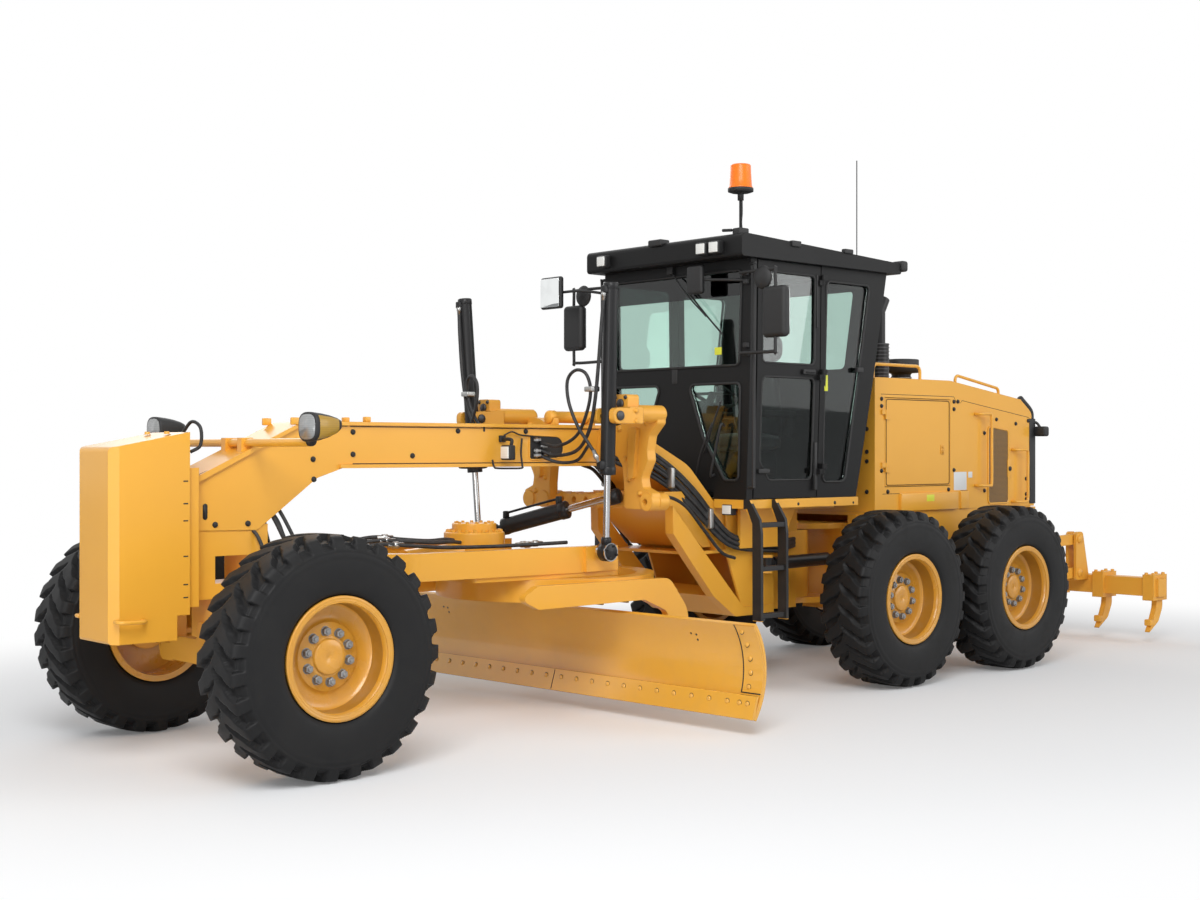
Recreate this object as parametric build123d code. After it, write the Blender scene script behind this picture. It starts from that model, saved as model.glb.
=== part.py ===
from build123d import *
from math import asin, atan2, cos, degrees, hypot, pi, radians, sin, sqrt, tan
import os

# Motor grader with a front push block, circle-mounted blade and rear ripper.
#
# Millimetres, +X forward, +Y left, +Z up. Stations along X are written from the front axle
# (0), rearward negative, as on a chassis drawing. `save` moves everything so that the origin
# is on the ground under the middle of the machine's length.

# ---------------------------------------------------------------- driving dimensions
TYRE_R = 673
TYRE_WIDTH = 445
RIM_R = 318
RIM_FLANGE_R = 342
RIM_WIDTH = 392
TRACK_HALF = 1040
TANDEM_FRONT_X = -5126
TANDEM_REAR_X = -6637

FRONT_END_X = 836
REAR_END_X = -9250
ARTICULATION_X = -5150

LEAN_PIVOT_Y = 600
LEAN_PIVOT_Z = 560
LEAN_BAR_Z = 880
KINGPIN_Y = 740
STEER_ARM = 230
TIE_ROD_Z = 588

BEAM_HALF_W = 142
BEAM_BOTTOM_Z = 1700
BEAM_TOP_Z = 1978
FLANGE_OUT = 22
FLANGE_T = 22

DRAWBAR_BALL_X = -300
DRAWBAR_BALL_Z = 975
CIRCLE_X = -2500
CIRCLE_R = 765
CIRCLE_BAND = 120
CIRCLE_BOTTOM_Z = 800
CIRCLE_TOP_Z = 950
BLADE_TURN = 2.8
BLADE_LENGTH = 3660
BLADE_HEIGHT = 585
BLADE_BOTTOM_Z = 115
BLADE_X = -2575
BLADE_SAG = 100
BLADE_T = 22
TILT_X = -2960
TILT_Z = 330

LIFT_BALL = (-2452, 685, 1120)
LIFT_YOKE = (-2425, 739, 2030)
LIFT_BARREL_D = 100
TRUNNION_D = 36
YOKE_GAP = 12
YOKE_PRONG_T = 50
LIFT_ROD_D = 45

CAB_FLOOR_Z = 1440
CAB_TOP_Z = 3190
CAB_FRONT_X = -3790
CAB_DOOR_REAR_X = -4570
CAB_SIDE_REAR_LOW_X = -5050
CAB_SIDE_REAR_HIGH_X = -5375
CAB_HALF_LOW = 730
CAB_HALF_MID = 767
CAB_HALF_TOP = 778
CAB_MID_Z = 2350
WALL_T = 45

HOOD_FRONT_X = -5520
HOOD_REAR_X = -7830
HOOD_HALF_W = 550
HOOD_TOP_Z = 2390
HOOD_BOTTOM_Z = 1300
HOOD_T = 25

DOOR_FRONT_GAP = 12
CAB_HINGE_X = -4575
CAB_HINGE_Y = 797
CAB_HINGES = (1620, 2330, 3040)
HOOD_HINGE_X = -5652
HOOD_HINGE_Y = 563
HOOD_HINGES = (1620, 2050)
GAP = 5        # between pieces that move past each other
SEAT = 0.3     # where one piece rests on another
ORIGIN_X = -(FRONT_END_X + REAR_END_X) / 2
AXLE_Z = TYRE_R


DISC_BACK = 20
WHEELS = [  # name, station, side
    ("front_left", 0, 1), ("front_right", 0, -1),
    ("tandem_front_left", TANDEM_FRONT_X, 1), ("tandem_front_right", TANDEM_FRONT_X, -1),
    ("tandem_rear_left", TANDEM_REAR_X, 1), ("tandem_rear_right", TANDEM_REAR_X, -1),
]
TOW_BORE_R = 25
TOW_BORE_TOP_Z = 900
LINK_BAR_HOLES = (-340, -210, -80, 50, 180, 620)
WINDSCREEN = [(-665, 2420, 40), (665, 2420, 40), (690, 3110, 40), (-690, 3110, 40)]
LOWER_FRONT_WINDOW = [(655, 1580, 30), (675, 2290, 30), (150, 2290, 30), (300, 1900, 60),
                      (520, 1580, 30)]
REAR_WINDOW = [(-430, 2450, 40), (430, 2450, 40), (430, 3080, 40), (-430, 3080, 40)]
QUARTER_WINDOW = [(-4640, 1560, 40), (-4905, 1560, 60), (-5160, 3080, 40), (-4640, 3080, 40)]
BEACON_Z = 3650
TOW_REAR_X = -7945
RIPPER_X = -7985
RIPPER_LOW_Z = 600
RIPPER_HIGH_Z = 920
ART_FRONT = (-4250, 530, 945)
ART_REAR = (-5400, 400, 945)
DOOR_X = (-6550, -5650)
DOOR_Z = (1500, 2230)
SHIFT_BASE = (-2500, -560, 1225)
SHIFT_EYE = (-2870, 300, 1470)
RIPPER_TOOL_X = -8900
RIPPER_TINES = (-1020, -500, 0, 500, 1020)


# ---------------------------------------------------------------- shape helpers
def loop(corners, place):
    """Closed wire through (a, b) or (a, b, radius) corners; place maps (a, b) to 3-D."""
    spots = [(c[0], c[1], c[2] if len(c) > 2 else 0) for c in corners]
    edges, trims = [], []
    for i, (a, b, r) in enumerate(spots):
        (pa, pb, _), (na, nb, _) = spots[i - 1], spots[(i + 1) % len(spots)]
        if r == 0:
            trims.append(((a, b), None, (a, b)))
            continue
        before, after = Vector(pa - a, pb - b), Vector(na - a, nb - b)
        half = radians(before.get_angle(after)) / 2
        before, after = before.normalized(), after.normalized()
        cut = r / tan(half)
        start, end = Vector(a, b) + before * cut, Vector(a, b) + after * cut
        inward = (before + after).normalized()
        middle = Vector(a, b) + inward * (r / sin(half) - r)
        trims.append(((start.X, start.Y), (middle.X, middle.Y), (end.X, end.Y)))
    for i, (start, middle, end) in enumerate(trims):
        if middle:
            edges.append(Edge.make_three_point_arc(place(*start), place(*middle), place(*end)))
        following = trims[(i + 1) % len(trims)][0]
        if hypot(following[0] - end[0], following[1] - end[1]) > 1e-6:
            edges.append(Edge.make_line(place(*end), place(*following)))
    return Wire(edges)


def side_plate(corners, low, high):
    """Outline in X and Z, from y = low to y = high."""
    wire = loop(corners, lambda a, b: Vector(a, low, b))
    return Solid.extrude(Face(wire), Vector(0, high - low, 0))


def flat_plate(corners, low, high):
    """Outline in X and Y, from z = low to z = high."""
    wire = loop(corners, lambda a, b: Vector(a, b, low))
    return Solid.extrude(Face(wire), Vector(0, 0, high - low))


def cross_plate(corners, low, high):
    """Outline in Y and Z, from x = low to x = high."""
    wire = loop(corners, lambda a, b: Vector(low, a, b))
    return Solid.extrude(Face(wire), Vector(high - low, 0, 0))


def block(x, y, z):
    """Box between the (low, high) pairs."""
    return flat_plate([(x[0], y[0]), (x[1], y[0]), (x[1], y[1]), (x[0], y[1])], z[0], z[1])


def rod(start, end, diameter):
    start, end = Vector(*start), Vector(*end)
    along = end - start
    return Solid.make_cylinder(diameter / 2, along.length, Plane(origin=start, z_dir=along))


def tube(start, end, outer, inner):
    start, end = Vector(*start), Vector(*end)
    reach = (end - start).normalized() * 1
    return rod(start, end, outer) - rod(start - reach, end + reach, inner)


def bent_rod(points, diameter, bend):
    """Round bar through the points with every corner bent to one radius."""
    path = FilletPolyline(*points, radius=bend)
    section = Plane(origin=path @ 0, z_dir=path % 0) * Circle(diameter / 2)
    return sweep(section, path)


def turned_y(profile, centre):
    """Profile of (radius, y) corners turned about the line along Y through centre."""
    cx, cy, cz = centre
    wire = loop(profile, lambda r, y: Vector(cx + r, cy + y, cz))
    return Solid.revolve(Face(wire), 360, Axis(centre, (0, 1, 0)))


def turned_z(profile, centre):
    """Profile of (radius, z) corners turned about the line along Z through centre."""
    cx, cy, cz = centre
    wire = loop(profile, lambda r, z: Vector(cx + r, cy, cz + z))
    return Solid.revolve(Face(wire), 360, Axis(centre, (0, 0, 1)))


def fused(pieces):
    total = pieces[0]
    for piece in pieces[1:]:
        total = total + piece
    return total


def mirrored(shape):
    return mirror(shape, about=Plane.XZ)


def both(shape):
    return [shape, mirrored(shape)]


def save(name, *shapes):
    solids = [solid for shape in shapes for solid in shape.solids()]
    moved = [Pos(ORIGIN_X, 0, 0) * solid for solid in solids]
    node = moved[0] if len(moved) == 1 else Compound(moved)
    node.label = name
    export_step(node, f"parts/{name}.step")


# ---------------------------------------------------------------- wheels
def rim(x, side):
    """Barrel with a flange each side, a disc and a raised hub face, outboard = +side."""
    inner, outer = -RIM_WIDTH / 2, RIM_WIDTH / 2
    bore, lip = RIM_R - 14, 12
    disc_back, disc_face = DISC_BACK, DISC_BACK + 18
    profile = [
        (0, disc_back), (bore, disc_back), (bore, inner), (RIM_FLANGE_R, inner),
        (RIM_FLANGE_R, inner + lip), (RIM_R, inner + lip), (RIM_R, outer - lip),
        (RIM_FLANGE_R, outer - lip), (RIM_FLANGE_R, outer), (bore, outer),
        (bore, disc_face), (190, disc_face), (185, disc_face + 18), (100, disc_face + 18),
        (96, disc_face + 40), (0, disc_face + 40),
    ]
    wheel = turned_y(profile, (x, TRACK_HALF, AXLE_Z))
    return wheel if side > 0 else mirrored(wheel)


def tyre(x, side):
    """Hollow carcass seated between the rim's flanges."""
    bead, seat_r = RIM_WIDTH / 2 - 12 - SEAT, RIM_R + SEAT
    half = TYRE_WIDTH / 2
    profile = [
        (seat_r, -bead), (RIM_FLANGE_R + 2, -bead), (375, -half + 12, 30), (500, -half, 200),
        (610, -half + 12, 60), (TYRE_R - 8, -half + 45, 20), (TYRE_R, -110),
        (TYRE_R, 110), (TYRE_R - 8, half - 45, 20), (610, half - 12, 60), (500, half, 200),
        (375, half - 12, 30), (RIM_FLANGE_R + 2, bead), (seat_r, bead), (seat_r, bead - 40),
        (365, half - 48, 30), (500, half - 28, 120), (600, half - 42, 60), (632, 100, 20),
        (632, -100, 20), (600, -half + 42, 60), (500, -half + 28, 120), (365, -half + 48, 30),
        (seat_r, -bead + 40),
    ]
    carcass = turned_y(profile, (x, TRACK_HALF, AXLE_Z))
    return carcass if side > 0 else mirrored(carcass)


# ---------------------------------------------------------------- front axle and steering
def front_axle():
    """Beam with a centre boss for its pivot pin and a fork at each end for wheel lean."""
    outline = [
        (-500, 515), (500, 515), (500, 640, 20), (380, 665, 60), (150, 665, 60),
        (110, 800, 60), (-110, 800, 60), (-150, 665, 60), (-380, 665, 60), (-500, 640, 20),
    ]
    beam = cross_plate(outline, -110, 110)
    ears = [
        cross_plate([(side * 490, 505), (side * 600, 505, 54), (side * 655, 560, 54),
                     (side * 600, 615, 54), (side * 490, 615)], x, x + 40)
        for side in (1, -1) for x in (-110, 70)
    ]
    pins = [rod((-110, side * LEAN_PIVOT_Y, LEAN_PIVOT_Z), (110, side * LEAN_PIVOT_Y, LEAN_PIVOT_Z),
                60) for side in (1, -1)]
    centre_pin = rod((-175, 0, 745), (175, 0, 745), 90)
    return fused([beam, centre_pin] + ears + pins)


def lean_yoke():
    """C-shaped housing: lug on the lean pin, stem with the lean bar's lug, kingpin ears."""
    stem = cross_plate([(605, 535), (655, 535), (655, 905, 20), (575, 925, 20), (560, 860, 20),
                        (612, 800)], -62, 62)
    lug = rod((-65, LEAN_PIVOT_Y, LEAN_PIVOT_Z), (65, LEAN_PIVOT_Y, LEAN_PIVOT_Z), 110)
    ears = [
        flat_plate([(-62, 640), (-62, KINGPIN_Y, 40), (-20, 795, 30), (20, 795, 30),
                    (62, KINGPIN_Y, 40), (62, 640)], z, z + 36) for z in (548, 764)
    ]
    kingpin = rod((0, KINGPIN_Y, 548), (0, KINGPIN_Y, 800), 60)
    bore = rod((-70, LEAN_PIVOT_Y, LEAN_PIVOT_Z), (70, LEAN_PIVOT_Y, LEAN_PIVOT_Z), 60.4)
    bar_slot = block((-25, 25), (540, 660), (840, 940))
    bar_pin = rod((-62, LEAN_PIVOT_Y, LEAN_BAR_Z), (62, LEAN_PIVOT_Y, LEAN_BAR_Z), 30)
    notches = [block(x, (618, 700), (628, 680)) for x in ((-90, -34), (34, 90))]
    return fused([stem, lug] + ears + [kingpin]) - bore - bar_slot - notches[0] - notches[1] + bar_pin


def knuckle():
    """Hub on the kingpin, spindle to the wheel and an arm back to the tie rod."""
    hub = rod((0, KINGPIN_Y, 589), (0, KINGPIN_Y, 759), 145)
    wheel_back = TRACK_HALF + DISC_BACK - SEAT
    spindle = rod((0, KINGPIN_Y + 40, AXLE_Z), (0, wheel_back, AXLE_Z), 130)
    flange = rod((0, TRACK_HALF - 30, AXLE_Z), (0, wheel_back, AXLE_Z), 300)
    arm = flat_plate([(0, KINGPIN_Y - 25), (-STEER_ARM, KINGPIN_Y - 25, 24),
                      (-STEER_ARM - 30, KINGPIN_Y, 0), (-STEER_ARM, KINGPIN_Y + 25, 24),
                      (0, KINGPIN_Y + 50)], 640, 668)
    bore = rod((0, KINGPIN_Y, 500), (0, KINGPIN_Y, 850), 60.6)
    return fused([hub, spindle, flange, arm]) - bore


def lean_bar():
    """Flat bar that ties both lean yokes together, an eye in each yoke's slot."""
    bar = cross_plate([(-LEAN_PIVOT_Y - 30, LEAN_BAR_Z - 30, 28), (LEAN_PIVOT_Y + 30, LEAN_BAR_Z - 30, 28),
                       (LEAN_PIVOT_Y + 30, LEAN_BAR_Z + 30, 28),
                       (-LEAN_PIVOT_Y - 30, LEAN_BAR_Z + 30, 28)], -20, 20)
    eyes = [rod((-30, side * LEAN_PIVOT_Y, LEAN_BAR_Z), (30, side * LEAN_PIVOT_Y, LEAN_BAR_Z), 30.6)
            for side in (1, -1)]
    return bar - eyes[0] - eyes[1]


def tie_rod_end():
    """Fork hung under the left steering arm, with the pin for the tie rod's eye."""
    x, y, z = -STEER_ARM, KINGPIN_Y, TIE_ROD_Z
    head = rod((x, y, 617), (x, y, 640 - SEAT), 46)
    forks = [block(pair, (y - 17, y + 17), (z - 18, 625)) for pair in ((x - 33, x - 21), (x + 21, x + 33))]
    bridge = block((x - 33, x + 33), (y - 17, y + 17), (617, 628))
    pin = rod((x - 30, y, z), (x + 30, y, z), 18)
    return fused([head, bridge, pin] + forks)


def tie_rod():
    """Bar between the steering arms; its right eye stays open under the right arm."""
    x, y, z = -STEER_ARM, KINGPIN_Y, TIE_ROD_Z
    bar = rod((x, -y, z), (x, y, z), 30)
    left = rod((x - 20.5, y, z), (x + 20.5, y, z), 34)
    right = Pos(x, -y, z) * Sphere(27)
    pin_bore = rod((x - 40, y, z), (x + 40, y, z), 18.6)
    return fused([bar, left, right]) - pin_bore


# ---------------------------------------------------------------- front frame
def front_frame():
    """Bolster, neck, main beam, gooseneck and articulation nose in one weldment."""
    neck = side_plate([(300, 1334), (-125, 1325, 40), (-540, 1630, 80), (-760, BEAM_BOTTOM_Z),
                       (-760, BEAM_TOP_Z), (-430, 1955, 120), (300, 1600)],
                      -BEAM_HALF_W, BEAM_HALF_W)
    neck_top = side_plate([(300, 1600), (300, 1640), (-430, BEAM_TOP_Z, 120), (-760, BEAM_TOP_Z),
                           (-760, BEAM_TOP_Z - 24), (-430, 1953, 120)],
                          -BEAM_HALF_W - FLANGE_OUT, BEAM_HALF_W + FLANGE_OUT)
    web = block((-2960, -740), (-BEAM_HALF_W, BEAM_HALF_W), (BEAM_BOTTOM_Z, BEAM_TOP_Z - 2))
    wide = BEAM_HALF_W + FLANGE_OUT
    flanges = [block((-2960, -740), (-wide, wide), (BEAM_TOP_Z - FLANGE_T, BEAM_TOP_Z)),
               block((-2960, -700), (-wide, wide), (BEAM_BOTTOM_Z - FLANGE_T / 2,
                                                    BEAM_BOTTOM_Z + FLANGE_T / 2))]
    bolster = block((-200, 300), (-BEAM_HALF_W + 8, BEAM_HALF_W - 8), (930, 1360))
    window = block((-60, 150), (-300, 300), (1020, 1180))
    axle_plates = [block((x, x + 34), (-130, 130), (690, 960)) for x in (-160, 126)]
    pin_bore = rod((-300, 0, 745), (300, 0, 745), 90.6)
    front_plate = block((290, 360), (-200, 200), (900, 1700))
    socket = rod((-300, 0, DRAWBAR_BALL_Z), (-190, 0, DRAWBAR_BALL_Z), 190)
    socket_hollow = Pos(DRAWBAR_BALL_X, 0, DRAWBAR_BALL_Z) * Sphere(65 + 2 * SEAT)
    stack = [neck, neck_top, web, bolster - window, front_plate] + flanges + axle_plates
    front_part = fused(stack + [socket]) - pin_bore - socket_hollow

    outer = [(-2890, BEAM_TOP_Z), (-3190, 1950, 200), (-3600, 1690, 300), (-3830, 1380, 80),
             (-4050, 1340), (-4900, 1340), (-4900, 1160), (-4720, 1160, 20), (-4720, 1060, 20),
             (-3840, 1040, 60), (-3650, 1290, 200), (-3420, 1545, 200), (-3150, BEAM_BOTTOM_Z, 200),
             (-2890, BEAM_BOTTOM_Z)]
    plan = [(-2880, 142), (-3190, 190, 300), (-3800, 400, 200), (-4350, 430, 100), (-4700, 300, 60),
            (-4910, 260)]
    plan_both = plan + [(x, -y, *r) for x, y, *r in reversed(plan)]
    gooseneck = side_plate(outer, -500, 500) & flat_plate(plan_both, 900, 2100)
    struts = [side_plate([(-3330, 1400), (-3610, 1105), (-3925, 780), (-4080, 625, 60), (-4420, 625),
                          (-4420, 560), (-3990, 560, 60), (-3760, 720), (-3500, 1010), (-3335, 1200)],
                         side * 360, side * 440) for side in (1, -1)]
    crown = side_plate([(-3300, 1500), (-3330, 1380), (-3700, 1085), (-3790, 1085), (-3640, 1320),
                        (-3480, 1500)], -380, 380)
    shelf = block((-4400, -3500), (-430, 430), (1040, 1062))
    belly = side_plate([(-3925, 780), (-4080, 625, 60), (-4420, 625), (-4420, 560), (-3990, 560, 60),
                        (-3800, 720)], -430, 430)
    nose_box = block((-4900, -4400), (-250, 250), (560, 1062))
    cheeks = [side_plate([(-4430, 1340), (-3900, 1340), (-3900, 1062), (-4080, 600), (-4430, 560)],
                         side * 410, side * 430) for side in (1, -1)]
    nose = flat_plate([(-4700, -170), (ARTICULATION_X, -170, 169), (ARTICULATION_X - 170, 0, 0),
                       (ARTICULATION_X, 170, 169), (-4700, 170)], 621, 1160)
    nose_bore = rod((ARTICULATION_X, 0, 500), (ARTICULATION_X, 0, 1300), 100.6)
    lug_x, lug_y, lug_z = ART_FRONT
    lug = [flat_plate([(lug_x + 70, side * 420), (lug_x + 60, side * 520, 40), (lug_x, side * 585, 30),
                       (lug_x - 60, side * 520, 40), (lug_x - 70, side * 420)], z, z + 20)
           for side in (1, -1) for z in (lug_z - 68, lug_z + 48)]
    lug += [rod((lug_x, side * lug_y, lug_z - 60), (lug_x, side * lug_y, lug_z + 60), 36)
            for side in (1, -1)]
    rear_part = fused([gooseneck, crown, shelf, belly, nose_box, nose] + struts + cheeks + lug)
    light_tube = rod((-70, -800, 1845), (-70, 800, 1845), 48)
    clamps = [block((-110, -30), (side * 95 - 25, side * 95 + 25), (1700, 1875)) for side in (1, -1)]
    pad = block((-3010, -2870), (-wide, wide), (1760, 1940))
    return fused([front_part, rear_part - nose_bore, light_tube, pad] + clamps)


def push_block():
    """Cast front counterweight with bevelled corners and a tow pin through its foot."""
    half, bevel = 226, 46
    body = side_plate([(360 + SEAT, 720), (FRONT_END_X, 720, 20), (FRONT_END_X, 1815, 30),
                       (360 + SEAT, 1905)], -half, half)
    plan = [(360, -half), (FRONT_END_X - bevel, -half), (FRONT_END_X, -half + bevel),
            (FRONT_END_X, half - bevel), (FRONT_END_X - bevel, half), (360, half)]
    body = body & flat_plate(plan, 600, 2000)
    notch = block((350, 440), (-300, 300), (700, 860))
    pin_hole = rod((600, 0, 700), (600, 0, TOW_BORE_TOP_Z), 2 * TOW_BORE_R)
    return body - notch - pin_hole


def lift_arms():
    """Cast arms beside the beam that carry the lift cylinders, joined by the link bar."""
    pieces, bores = [], []
    root = BEAM_HALF_W + FLANGE_OUT + SEAT
    inner, outer = LIFT_BARREL_D / 2 + YOKE_GAP, LIFT_BARREL_D / 2 + YOKE_GAP + YOKE_PRONG_T
    x, z = LIFT_YOKE[0], LIFT_YOKE[2]
    for side in (1, -1):
        y = side * LIFT_YOKE[1]
        web = cross_plate([(side * root, 1780), (side * root, 1935), (side * 380, 1985, 40),
                           (side * 560, 2045, 60), (side * 735, 2045, 25), (side * 735, 1985, 25),
                           (side * 650, 1900, 50), (side * 632, 1800, 40), (side * 640, 1730, 30),
                           (side * 575, 1610, 50), (side * 590, 1540, 20), (side * 680, 1505, 20),
                           (side * 690, 1420, 30), (side * 570, 1390, 40), (side * 400, 1390, 30),
                           (side * 400, 1560, 40), (side * 385, 1690, 40), (side * 330, 1760, 40)],
                          -2965, -2885)
        rib = cross_plate([(side * 470, 1600, 20), (side * 520, 1600, 20), (side * 560, 1960, 20),
                           (side * 470, 1960, 20)], -2895, -2850)
        boss = rod((-2960, side * 690, z + 20), (-2600, side * 700, z + 20), 118)
        head = cross_plate([(y - 68, z + 20, 24), (y + 68, z + 20, 24), (y + 68, z + 145, 24),
                            (y - 68, z + 145, 24)], -2640, -2535)
        bridge = block((-2640, -2515), (y - outer, y + outer), (z - 52, z + 60))
        prongs = [side_plate([(-2600, z - 52), (x + 55, z - 52, 40), (x + 55, z + 52, 40),
                              (-2600, z + 52)], *sorted((y + way * inner, y + way * outer)))
                  for way in (1, -1)]
        ends = [rod((-3050, side * place, 1442), (-2875, side * place, 1442), 124) for place in (470, 632)]
        pieces += [web, rib, boss, head, bridge] + prongs + ends[1 if side > 0 else 0:]
        bores.append(rod((x, y - outer - 5, z), (x, y + outer + 5, z), TRUNNION_D + 2 * SEAT))
    bar = cross_plate([(-470, 1400, 40), (700, 1400, 40), (700, 1484, 40), (-470, 1484, 40)],
                      -3040, -2955)
    eyes = [rod((-3040, y, 1442), (-2958, y, 1442), 112) for y in LINK_BAR_HOLES]
    holes = [rod((-3100, y, 1442), (-2800, y, 1442), 44) for y in LINK_BAR_HOLES]
    return fused(pieces + [bar] + eyes) - fused(holes + bores)


# ---------------------------------------------------------------- cab
def cab_half(z):
    """Outer half-width of the cab at height z."""
    if z <= CAB_MID_Z:
        return CAB_HALF_LOW + (CAB_HALF_MID - CAB_HALF_LOW) * (z - CAB_FLOOR_Z) / (CAB_MID_Z - CAB_FLOOR_Z)
    return CAB_HALF_MID + (CAB_HALF_TOP - CAB_HALF_MID) * (z - CAB_MID_Z) / (CAB_TOP_Z - CAB_MID_Z)


def side_rear_x(z):
    """Station of the cab side's leaning rear edge at height z."""
    share = (z - CAB_FLOOR_Z) / (CAB_TOP_Z - CAB_FLOOR_Z)
    return CAB_SIDE_REAR_LOW_X + share * (CAB_SIDE_REAR_HIGH_X - CAB_SIDE_REAR_LOW_X)


def side_sheet(x_low, x_high, z_low, z_high, inset, thick):
    """Left cab side between two stations, following the side's slight flare."""
    heights = [z_low] + [CAB_MID_Z] * (z_low < CAB_MID_Z < z_high) + [z_high]
    outer = [(cab_half(z) - inset, z) for z in heights]
    inner = [(cab_half(z) - inset - thick, z) for z in reversed(heights)]
    return cross_plate(outer + inner, x_low, x_high)


def cab_platform():
    """Floor under the cab with its edge plates and a boarding ladder each side."""
    floor = flat_plate([(-3780, 745), (-3780, 420), (-3900, 405), (-3900, -405), (-3780, -420),
                        (-3780, -745), (-5060, -745), (-5060, 745)], 1375, CAB_FLOOR_Z)
    pieces = [floor, block((-4880, -4090), (-240, 240), (1340 + SEAT, 1380))]
    for side in (1, -1):
        pieces.append(side_plate([(-3980, 1375), (-5060, 1375), (-5060, 1350), (-4600, 1345),
                                  (-4440, 1070), (-3980, 1070)], side * 470, side * 500))
    return fused(pieces + both(ladder()))


def ladder():
    """Left boarding ladder: two bent stringers, three rungs and a top step."""
    pieces = []
    for x in (-3800, -4075):
        outline = [(700, 1440), (775, 1440), (870, 1290), (885, 570), (805, 570), (800, 1270),
                   (735, 1375), (700, 1375)]
        pieces.append(cross_plate(outline, x, x + 22))
    for z in (590, 930, 1245):
        pieces.append(block((-4075, -3778), (812, 868), (z, z + 28)))
    return fused(pieces)


def cab_front_wall():
    """A-posts, windscreen frame and the lower panel with its two slanted windows."""
    low, high = CAB_FLOOR_Z, CAB_TOP_Z
    outline = [(cab_half(low), low), (cab_half(CAB_MID_Z), CAB_MID_Z), (cab_half(high), high)]
    wall = cross_plate(outline + [(-y, z) for y, z in reversed(outline)],
                       CAB_FRONT_X - WALL_T, CAB_FRONT_X)
    screen = cross_plate(WINDSCREEN, CAB_FRONT_X - 100, CAB_FRONT_X + 50)
    lower = cross_plate(LOWER_FRONT_WINDOW, CAB_FRONT_X - 100, CAB_FRONT_X + 50)
    posts = [side_sheet(CAB_FRONT_X - WALL_T - 20, CAB_FRONT_X - WALL_T + 5, low, high, 0, 60)]
    posts.append(mirrored(posts[0]))
    neck_gap = block((CAB_FRONT_X - 100, CAB_FRONT_X + 50), (-405, 405), (low - 10, 1500))
    return fused([wall] + posts) - screen - lower - mirrored(lower) - neck_gap


def cab_rear_wall():
    """Rear of the cab: leaning back wall, chamfered corners and both rear side panels."""
    low, high = CAB_FLOOR_Z, CAB_TOP_Z
    chamfer, back = 200, 80
    def ring(z, inset):
        half, edge = cab_half(z) - inset, side_rear_x(z)
        rear = edge - back + inset
        return [(CAB_DOOR_REAR_X - 10, half), (edge + inset * 0.4, half), (rear, half - chamfer),
                (rear, -half + chamfer), (edge + inset * 0.4, -half), (CAB_DOOR_REAR_X - 10, -half)]
    def shell(inset, extra):
        faces = []
        for z in (low - extra, CAB_MID_Z, high + extra):
            faces.append(Face(loop(ring(z, inset), lambda a, b, z=z: Vector(a, b, z))))
        lower = Solid.make_loft([f.outer_wire() for f in faces[:2]], ruled=True)
        upper = Solid.make_loft([f.outer_wire() for f in faces[1:]], ruled=True)
        return lower + upper
    body = shell(0, 0)
    hollow = shell(WALL_T, 50)
    ends = block((CAB_DOOR_REAR_X - 60, CAB_DOOR_REAR_X + 100), (-cab_half(low) + WALL_T,
                                                                 cab_half(low) - WALL_T), (low - 50, high + 50))
    quarter = side_plate(QUARTER_WINDOW, -900, 900)
    rear_window = cross_plate(REAR_WINDOW, -5600, -5150)
    hinges = [half for z in CAB_HINGES for half in both(cab_hinge(z + 40, -4620, -4580))]
    return fused([body - hollow - ends - quarter - rear_window] + hinges)


def rear_pane_sheet():
    """Thin leaning sheet inside the thickness of the rear wall."""
    low, high, back = CAB_FLOOR_Z, CAB_TOP_Z, 80
    return side_plate([(side_rear_x(low) - back + 18, low), (side_rear_x(high) - back + 18, high),
                       (side_rear_x(high) - back + 26, high), (side_rear_x(low) - back + 26, low)],
                      -500, 500)


def cab_roof():
    """Roof slab with a deep fascia, resting on the walls."""
    slab = side_plate([(-3640, CAB_TOP_Z + SEAT, 25), (-3640, 3360, 40), (-5500, 3275, 30),
                       (-5500, CAB_TOP_Z + SEAT, 20)], -826, 826)
    hollow = block((-5300, -3860), (-690, 690), (CAB_TOP_Z - 10, 3225))
    beacon_stalk = rod((-3720, 740, 3330), (-3720, 740, BEACON_Z - SEAT), 22)
    whip = rod((-5100, 700, 3280), (-5100, 700, 4060), 8)
    return fused([slab - hollow, beacon_stalk, whip])


def edge_normal(start, end, inward):
    """Unit normal of an outline's edge, pointing into the outline."""
    run, rise = end[0] - start[0], end[1] - start[1]
    length = hypot(run, rise)
    return -rise / length * inward, run / length * inward


def shrunk(corners):
    """The same outline with every edge moved in by twice the seat gap."""
    before = corners[-1:] + corners[:-1]
    after = corners[1:] + corners[:1]
    area = sum(a[0] * b[1] - b[0] * a[1] for a, b in zip(corners, after))
    inward = 1 if area > 0 else -1
    moved = []
    for last, here, following in zip(before, corners, after):
        one = edge_normal(last, here, inward)
        two = edge_normal(here, following, inward)
        step = 2 * SEAT / (1 + one[0] * two[0] + one[1] * two[1])
        moved.append((here[0] + (one[0] + two[0]) * step, here[1] + (one[1] + two[1]) * step, *here[2:]))
    return moved


def cab_windows():
    """Fixed panes, each a separate sheet set in its opening."""
    glass, front_x = 8, CAB_FRONT_X - 18
    cut = lambda outline: cross_plate(shrunk(outline), front_x - glass, front_x)
    low = cut(LOWER_FRONT_WINDOW)
    rear = cross_plate(shrunk(REAR_WINDOW), -5600, -5150) & rear_pane_sheet()
    quarter = side_plate(shrunk(QUARTER_WINDOW), 600, 900) & side_sheet(-5300, -4600, 1500, 3150, 18, glass)
    return [cut(WINDSCREEN), rear] + both(low) + both(quarter)


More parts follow.
